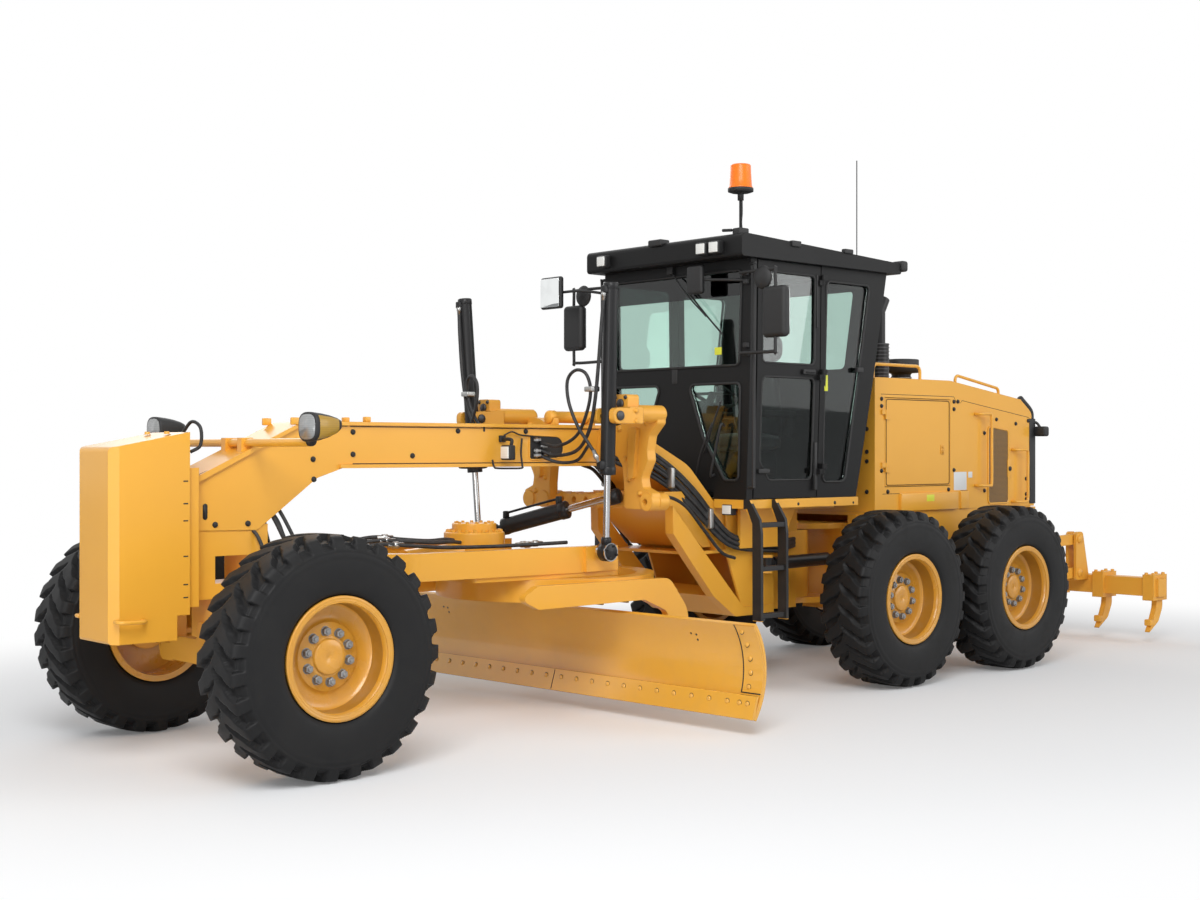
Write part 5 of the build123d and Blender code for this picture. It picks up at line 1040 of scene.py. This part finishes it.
def hosePieces():
    lines, ends = [], []
    thin, line, pitch, stagger = (hoseSettings[key] for key in ("thin", "line", "pitch", "stagger"))
    for s in (1, -1):
        y = lambda p: p * np.array([1, s, 1])
        route = lambda rows: [y(at(*r)) for r in rows]
        clips = []
        loops = [hose(route([(-2.33, 0.145, 1.8), (-2.38, 0.26, 1.765), (-2.4, 0.45, 1.8), (-2.375, 0.6, 1.93),
            (-2.345, 0.69, 2.12), (-2.335, 0.735, 2.35), (-2.335, 0.765, 2.62), (-2.34, 0.782, 2.8)]), line),
            hose(route([(-2.33, 0.145, 1.85), (-2.36, 0.3, 1.83), (-2.37, 0.48, 1.9), (-2.345, 0.61, 2.05),
            (-2.33, 0.665, 2.2), (-2.31, 0.64, 2.31), (-2.29, 0.56, 2.335), (-2.28, 0.49, 2.27),
            (-2.28, 0.5, 2.13), (-2.285, 0.58, 1.97), (-2.295, 0.67, 1.86), (-2.315, 0.715, 1.79)]), thin)]
        lines.append(hose(route([(-2.3, 0.145, 1.775), (-2.4, 0.24, 1.72), (-2.46, 0.38, 1.73),
            (-2.44, 0.52, 1.83)]), thin))
        fit = stud([(0, 0.085), (0.011, 0.085), (0.012, 0.06), (0.018, 0.058), (0.018, 0.03), (0.0145, 0.028),
            (0.0145, 0.0), (0, 0.0)], 6, True)
        for place, direction in (((-2.34, 0.782, 2.79), (0.0, 0.05, 1)),
                ((-2.315, 0.712, 1.8), (-0.15, 0.35, -0.9))):
            clips.append(moved(facing(np.array(direction) * [1, s, 1], fit), y(at(*place))))
        clips.append(softBox(y(at(-2.3, 0.63, 2.19)), y(at(-2.375, 0.71, 2.225)), 0.008))
        name = "left" if s > 0 else "right"
        bent = meshed("liftHoses_" + name, loops, hoseBlack)
        list(at(-2.35, s * 0.24, 1.9))
        list(at(-2.35, s * 0.66, 1.9))
        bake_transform(bent)
        fix("liftFittings_" + name, clips, zincFitting, "lift_barrel_" + name)
        # bundle along the gooseneck
        for k in range(hoseSettings["bundle"]):
            lift, low = stagger * (k % 2), k * pitch
            rows = [(x, y0 + lift * a, z - low * b) for x, y0, z, a, b in hoseSettings["gooseneck"]]
            lines.append(hose(route(rows), 0.0135 if k % 3 else 0.016, 12, 8))
        for place in ((-3.4, 0.345, 1.6), (-3.7, 0.445, 1.3), (-4.22, 0.462, 1.05)):
            ends.append(softBox(y(at(place[0] - 0.02, place[1] - 0.03, place[2] - 0.075)),
                y(at(place[0] + 0.02, place[1] + 0.035, place[2] + 0.075)), 0.012))
        lines.append(hose(route([(-3.02, 0.52, 1.43), (-3.2, 0.5, 1.47), (-3.42, 0.475, 1.4),
            (-3.62, 0.47, 1.22), (-3.8, 0.475, 1.05), (-3.95, 0.47, 1.0)]), line))
    front = [[(-0.235, 0.09, 1.44), (-0.262, 0.12, 1.37), (-0.31, 0.15, 1.25), (-0.4, 0.15, 1.08)],
             [(-0.29, 0.09, 1.46), (-0.325, 0.12, 1.38), (-0.375, 0.16, 1.25), (-0.45, 0.17, 1.08)],
             [(-0.255, 0.06, 1.44), (-0.29, 0.1, 1.37), (-0.345, 0.13, 1.22), (-0.48, 0.12, 1.08)],
             [(-0.09, 0.1, 1.34), (-0.115, 0.16, 1.29), (-0.145, 0.19, 1.16), (-0.12, 0.2, 0.96)]]
    for rows in front:
        lines += bothSides(cable(rows, thin))
    fix("frameHoses", lines, hoseBlack)
    fix("frameFittings", ends, zincFitting)
    run = [[(-0.56, 0.08, 1.165), (-0.72, 0.17, 1.205), (-0.9, 0.25, 1.235), (-1.1, 0.27, 1.225),
        (-1.35, 0.22, 1.205), (-1.55, 0.16, 1.2), (-1.66, 0.12, 1.19)],
        [(-0.56, 0.04, 1.17), (-0.74, 0.12, 1.22), (-0.92, 0.19, 1.255), (-1.12, 0.21, 1.235),
        (-1.36, 0.17, 1.215), (-1.54, 0.11, 1.215), (-1.64, 0.07, 1.205)],
        [(-0.56, 0.1, 1.16), (-0.7, 0.22, 1.185), (-0.9, 0.31, 1.215), (-1.1, 0.33, 1.2), (-1.4, 0.28, 1.175),
        (-1.7, 0.34, 1.17), (-2.0, 0.42, 1.175), (-2.3, 0.46, 1.18)],
        [(-0.56, -0.06, 1.165), (-0.75, -0.16, 1.21), (-1.0, -0.28, 1.22), (-1.4, -0.36, 1.175),
        (-1.9, -0.42, 1.175), (-2.35, -0.5, 1.185)]]
    fix("drawbarHoses", [cable(rows, line) for rows in run], hoseBlack, "drawbar")

    def circleOf(head, count, radius, height):
        # heads on a circle about the drive's axis
        angle = np.arange(count) * 2 * pi / count
        ring = np.stack([np.cos(angle) * radius, np.sin(angle) * radius, angle * 0 + height], 1)
        return copies(head, ring + [axleX + hoseSettings["drive"], 0, 0])

    small, middle = bolt(0.02, 0.012, 0.014), bolt(0.026, 0.016, 0.018)
    drive = [circleOf(middle, 20, 0.178, 1.251), circleOf(small, 12, 0.125, 1.309),
        circleOf(middle, 20, 0.22, 1.0)]
    fix("driveBolts", drive, castYellow, "drawbar", smooth=False)
    joints = [turned([(0, -0.06), (0.014, -0.06), (0.016, -0.02), (0.022, -0.018), (0.022, 0.018),
        (0.016, 0.02), (0.014, 0.06), (0, 0.06)], at(x, y, z), "x", 12,
        True) for x, y, z in ((-0.98, 0.255, 1.232), (-1.0, 0.2, 1.25), (-1.0, 0.32, 1.208), (-2.05, 0.3, 1.17),
        (-2.12, 0.345, 1.175), (-2.02, 0.38, 1.172))]
    fix("drawbarFittings", joints, zincFitting, "drawbar")


bladeSettings = {"radius": 0.4778, "centreX": -2.1972, "centreZ": 0.4075, "turn": 2.8, "pivotX": -2.5,
                 "low": 0.118, "high": 0.697, "end": 1.665, "tip": 1.828, "edgeX": -2.554, "edgeZ": 0.113,
                 "edgeSlope": 0.3169, "edgeBolts": 0.205, "pitch": 0.1524}


def bladePieces():
    # everything follows the blade's arc: x = centre - root of (radius squared - (z - centre) squared),
    # then turns with the parked circle
    b = bladeSettings
    turn, pivot = radians(b["turn"]), np.array([b["pivotX"], 0.0, 0.0])

    def parked(points):
        p = points - pivot
        return np.stack([p[..., 0] * cos(turn) - p[..., 1] * sin(turn),
            p[..., 0] * sin(turn) + p[..., 1] * cos(turn), p[..., 2]], -1) + pivot + [axleX, 0, 0]

    def face(z, out=0.0):
        return b["centreX"] - np.sqrt(b["radius"] ** 2 - (z - b["centreZ"]) ** 2) + out

    parts = []
    for s in (1, -1):
        z = np.linspace(b["low"], b["high"], 24)
        front, back = face(z, 0.012), face(z, 0.0005)
        rows = [(front, b["end"]), (front, b["tip"]), (back, b["tip"]), (back, b["end"])]
        points = np.stack([np.stack([x, np.full_like(z, s * y), z], -1) for x, y in rows], 1)
        n = len(z) * len(rows)
        faces = gridFaces(len(z), len(rows), False, True).tolist() + [[3, 2, 1, 0],
            [n - 4, n - 3, n - 2, n - 1]]
        parts.append((parked(points.reshape(-1, 3)), faces if s > 0 else [f[::-1] for f in faces]))
    fix("endBits", parts, bladeYellow, "moldboard", smooth=False)
    # front of the wear edge, a straight slope
    edge = lambda z, out=0.0: b["edgeX"] - b["edgeSlope"] * (z - b["edgeZ"]) + out
    head = stud([(0, 0.009), (0.01, 0.0085), (0.0145, 0.006), (0.0165, 0.0)], 14)
    rowY = np.arange(-1.6, 1.61, b["pitch"])
    heads = [(edge(b["edgeBolts"]), y, b["edgeBolts"]) for y in rowY]
    heads += [(face(z, 0.012), s * y, z) for s in (1, -1) for y, z in ((1.712, 0.655), (1.722, 0.57),
        (1.728, 0.48), (1.728, 0.39), (1.722, 0.3))]
    heads += [(edge(b["edgeBolts"]), s * y, b["edgeBolts"]) for s in (1, -1) for y in (1.7, 1.765)]
    # painted shade: dark discs on the moldboard's face for its holes
    holes = [(face(z, 0.0), y + dy, z) for y in (-1.27, 1.25) for dy, z in ((0, 0.605), (0.045, 0.6),
        (0.045, 0.565))]
    drilledHoleShade = stud([(0, 0.0012), (0.0075, 0.0012), (0.0085, 0.0)], 14)
    places = parked(np.array(heads))
    fix("edgeBolts", [copies(facing((1, 0, 0.1), head), places)], bladeYellow, "moldboard")
    # painted shade: a dark ring round the base of every edge bolt's head
    ringBelowHead = stud([(0.0155, 0.0), (0.0185, 0.0015), (0.0195, 0.0)], 18)
    lines = [copies(facing((1, 0, 0.1), ringBelowHead), places),
        copies(facing((1, 0, -0.3), drilledHoleShade), parked(np.array(holes)))]
    z = np.linspace(0.12, 0.25, 6)
    lines.append(seamAndShadowLine(parked(np.stack([edge(z, 0.0005), 0 * z, z], -1)), 0.003))
    z = np.linspace(0.262, 0.697, 20)
    lines += [seamAndShadowLine(parked(np.stack([face(z, 0.012), np.full_like(z, y), z], -1)), 0.0045) for y in (1.6705,
        -1.6705)]
    lines += [seamAndShadowLine(parked(np.stack([np.full(6, face(0.264, 0.013)), y, np.full(6, 0.264)], -1)),
        0.004) for y in (np.linspace(1.672, 1.826, 6), np.linspace(-1.826, -1.672, 6))]
    fix("edgeSeamsAndShade", lines, rubberSealAndShade, "moldboard")


cylinderSettings = {"ball": (-2.452, 0.685, 1.12), "trunnion": (-2.425, 0.739, 2.03), "gland": 0.393,
    "cover": 0.845, "shiftBase": (-2.5, -0.56, 1.225), "shiftEye": (-2.87, 0.3, 1.47), "shiftGland": 0.604}


def barrelPieces():
    # glands, ports and pipes on the cylinders, along each one's own axis
    for name, s in (("left", 1), ("right", -1)):
        ball, trunnion = (at(x, s * y, z) for x, y, z in (cylinderSettings["ball"],
            cylinderSettings["trunnion"]))
        span = np.linalg.norm(trunnion - ball)
        line = (trunnion - ball) / span
        collar = facing(line, stud([(0.0235, 0.0), (0.054, 0.0), (0.0555, 0.004), (0.0555, 0.05),
            (0.053, 0.054), (0.05, 0.055), (0.0235, 0.055)], 40))
        gland = (collar[0] + ball + line * (span - cylinderSettings["gland"]), collar[1][:, ::-1])
        cover = facing(line, stud([(0, 0.04), (0.046, 0.04), (0.0515, 0.034), (0.0525, 0.0), (0.05, -0.004)],
            40))
        top = (cover[0] + ball + line * (span + cylinderSettings["cover"]), cover[1])
        low, high = ball + line * (span - 0.36), ball + line * (span - 0.3)
        port = softBox(low + np.array([0.03, -0.022, 0]), high + np.array([0.085, 0.022, 0]), 0.01)
        port2 = softBox(ball + line * (span + 0.81) + np.array([0.03, -0.02, 0]),
            ball + line * (span + 0.86) + np.array([0.075, 0.02, 0]), 0.008)
        fix("liftGland_" + name, [gland, top, port, port2], barrelBlack, "lift_barrel_" + name)
        cap = turned([(0, 0.052), (0.045, 0.05), (0.058, 0.043), (0.0635, 0.034), (0.0635, -0.026),
            (0.058, -0.031)], ball + np.array([0, s * 0.0055, 0]), "y", 40)
        cap = cap if s > 0 else ((cap[0] - ball) * [1, -1, 1] + ball, cap[1][:, ::-1])
        boltsRing = np.arange(4) * pi / 2 + 0.4
        studs = copies(facing((0, s, 0),
            bolt(0.016, 0.01)),
            np.stack([np.cos(boltsRing) * 0.045, boltsRing * 0 + s * 0.056, np.sin(boltsRing) * 0.045],
            1) + ball)
        neck = facing(line, stud([(0, 0.1), (0.03, 0.1), (0.036, 0.085), (0.036, 0.03), (0, 0.03)], 30, True))
        fix("ballCap_" + name, [cap, studs, moved(neck, ball)], barrelBlack, "lift_rod_" + name)
    base, eye = at(*cylinderSettings["shiftBase"]), at(*cylinderSettings["shiftEye"])
    line = (eye - base) / np.linalg.norm(eye - base)
    up = np.cross(line, np.cross([0, 0, 1], line))
    up /= np.linalg.norm(up)
    pipe = hose([base + line * a + up * h for a, h in ((0.1, 0.055), (0.115, 0.088), (0.16, 0.092),
        (0.5, 0.092), (0.545, 0.085), (0.55, 0.05))], 0.009, 10, 8)
    gland = facing(-line, stud([(0.026, 0.0), (0.063, 0.0), (0.065, 0.004), (0.065, 0.05), (0.06, 0.054)], 40))
    tail = facing(-line, stud([(0, 0.03), (0.05, 0.03), (0.062, 0.024), (0.064, 0.0), (0.06, -0.03)], 40))
    blocks = [softBox(base + line * a + up * 0.04 - 0.02, base + line * a + up * 0.09 + 0.02,
        0.008) for a in (0.11, 0.55)]
    fix("shiftPipe", [pipe, (gland[0] + base + line * cylinderSettings["shiftGland"], gland[1]),
        (tail[0] + base + line * 0.1, tail[1])] + blocks, barrelBlack, "shift_barrel")
    fix("shiftEyeCap", [moved(facing(line,
        stud([(0, 0.06), (0.045, 0.058), (0.056, 0.045), (0.057, -0.04), (0.03, -0.055), (0, -0.056)], 36)),
        eye)], barrelBlack, "shift_rod")


ripperSettings = {"shanks": (-1.02, -0.5, 0, 0.5, 1.02), "pins": (0.63, 0.95)}


def ripperPieces():
    parts = []
    for s in (1, -1):
        for z in ripperSettings["pins"]:
            parts.append(moved(facing((0, s, 0),
                stud([(0, 0.018), (0.034, 0.016), (0.04, 0.008), (0.04, 0.0)], 30)), at(-8.9, s * 0.37, z)))
    boltsY = [y + d for y in ripperSettings["shanks"] for d in (-0.035, 0.035)]
    parts.append(copies(bolt(0.028, 0.018, 0.02),
        [at(-9.125 + d, y, 0.64) for y in boltsY for d in (-0.09, 0.09)]))
    for y in ripperSettings["shanks"]:
        parts.append(box((-9.045, y - 0.034, 0.165), (-8.99, y + 0.034, 0.225), 0.01))
    fix("ripperFixings", parts, castYellow, "ripper_beam")


hoodPieces()
framePieces()
ladderPieces()
hosePieces()
bladePieces()
barrelPieces()
ripperPieces()
print("fittings made")

# lamps: place, aim, size in metres, power in watts
studioSettings = {"floorHalf": 60, "floorZ": -0.0005, "sky": 0.34, "lamps": {
    "key": ((9.5, 9.0, 10.0), (1.5, 0, 1.2), 7.0, 1260), "fill": ((-7, 11, 6), (-1.0, 0, 1.4), 8.0, 480),
    "back": ((-4, -11, 8), (0, 0, 1.2), 8.0, 330), "front": ((11.5, 5.5, 1.9), (-1.5, 0.5, 0.5), 3.6, 180)}}


def studio():
    half, z = studioSettings["floorHalf"], studioSettings["floorZ"]
    corners = np.array([(x * half, y * half, z) for x, y in ((-1, -1), (1, -1), (1, 1), (-1, 1))])
    floor = meshed("floor", [(corners, [[0, 1, 2, 3]])], floorFinish())
    world = bpy.data.worlds.new("studioSky")
    scene.world = world
    world.use_nodes = True
    nodes, links = world.node_tree.nodes, world.node_tree.links
    nodes.clear()
    output, mix = nodes.new("ShaderNodeOutputWorld"), nodes.new("ShaderNodeMixShader")
    sky, white = nodes.new("ShaderNodeBackground"), nodes.new("ShaderNodeBackground")
    path = nodes.new("ShaderNodeLightPath")
    sky.inputs[0].default_value, sky.inputs[1].default_value = (1, 1, 1, 1), studioSettings["sky"]
    white.inputs[0].default_value, white.inputs[1].default_value = (1, 1, 1, 1), 1.0
    seen, shiny = nodes.new("ShaderNodeMath"), nodes.new("ShaderNodeMath")
    seen.operation = shiny.operation = "MAXIMUM"
    links.new(path.outputs["Is Camera Ray"], seen.inputs[0])
    links.new(path.outputs["Is Transmission Ray"], seen.inputs[1])
    links.new(seen.outputs[0], shiny.inputs[0])
    links.new(path.outputs["Is Glossy Ray"], shiny.inputs[1])
    links.new(shiny.outputs[0], mix.inputs[0])
    links.new(sky.outputs[0], mix.inputs[1])
    links.new(white.outputs[0], mix.inputs[2])
    links.new(mix.outputs[0], output.inputs[0])
    for name, (spot, aim, size, power) in studioSettings["lamps"].items():
        light = bpy.data.lights.new(name, "AREA")
        light.size, light.energy = size, power
        lamp = bpy.data.objects.new(name, light)
        scene.collection.objects.link(lamp)
        lamp.location = spot
        lamp.rotation_euler = (Vector(aim) - Vector(spot)).to_track_quat("-Z", "Y").to_euler()


def floorFinish():
    f = Finish("floorPale")
    camera = f.node("LightPath", out="Is Camera Ray")
    lit = f.node("BsdfDiffuse", None, {"Color": (0.85, 0.86, 0.875)})
    glow = f.node("Emission", None, {"Color": (1, 1, 1), "Strength": 0.09})
    dark = f.node("Emission", None, {"Color": (0, 0, 0), "Strength": 0.0})
    lift = f.node("MixShader", None, {0: camera, 1: dark, 2: glow})
    both = f.node("AddShader", None, {0: lit, 1: lift})
    away = f.node("VectorMath", {"operation": "LENGTH"}, {0: f.place((1, 1.3, 1))}, out=1)
    white = f.node("Emission", None, {"Color": (1, 1, 1), "Strength": 1.0})
    surface = f.node("MixShader", None, {0: f.ramp(away, 4.7, 9.0) * camera, 1: both, 2: white})
    f.node("OutputMaterial", None, {"Surface": surface})
    return f.material


cameraSettings = {"sensor": 36.0, "lens": 47.97, "far": 200, "station": (4.804, 8.553, 1.802),
    "heading": 137.535}


def viewpoint():
    data = bpy.data.cameras.new("view")
    data.sensor_width, data.lens = cameraSettings["sensor"], cameraSettings["lens"]
    data.clip_end = cameraSettings["far"]
    camera = bpy.data.objects.new("view", data)
    scene.collection.objects.link(camera)
    camera.location = at(*cameraSettings["station"])
    camera.rotation_euler = (pi / 2, 0, radians(cameraSettings["heading"]))
    scene.camera = camera


studio()
viewpoint()
scene.view_settings.view_transform = "Standard"
bpy.context.view_layer.update()
print("scene ready")
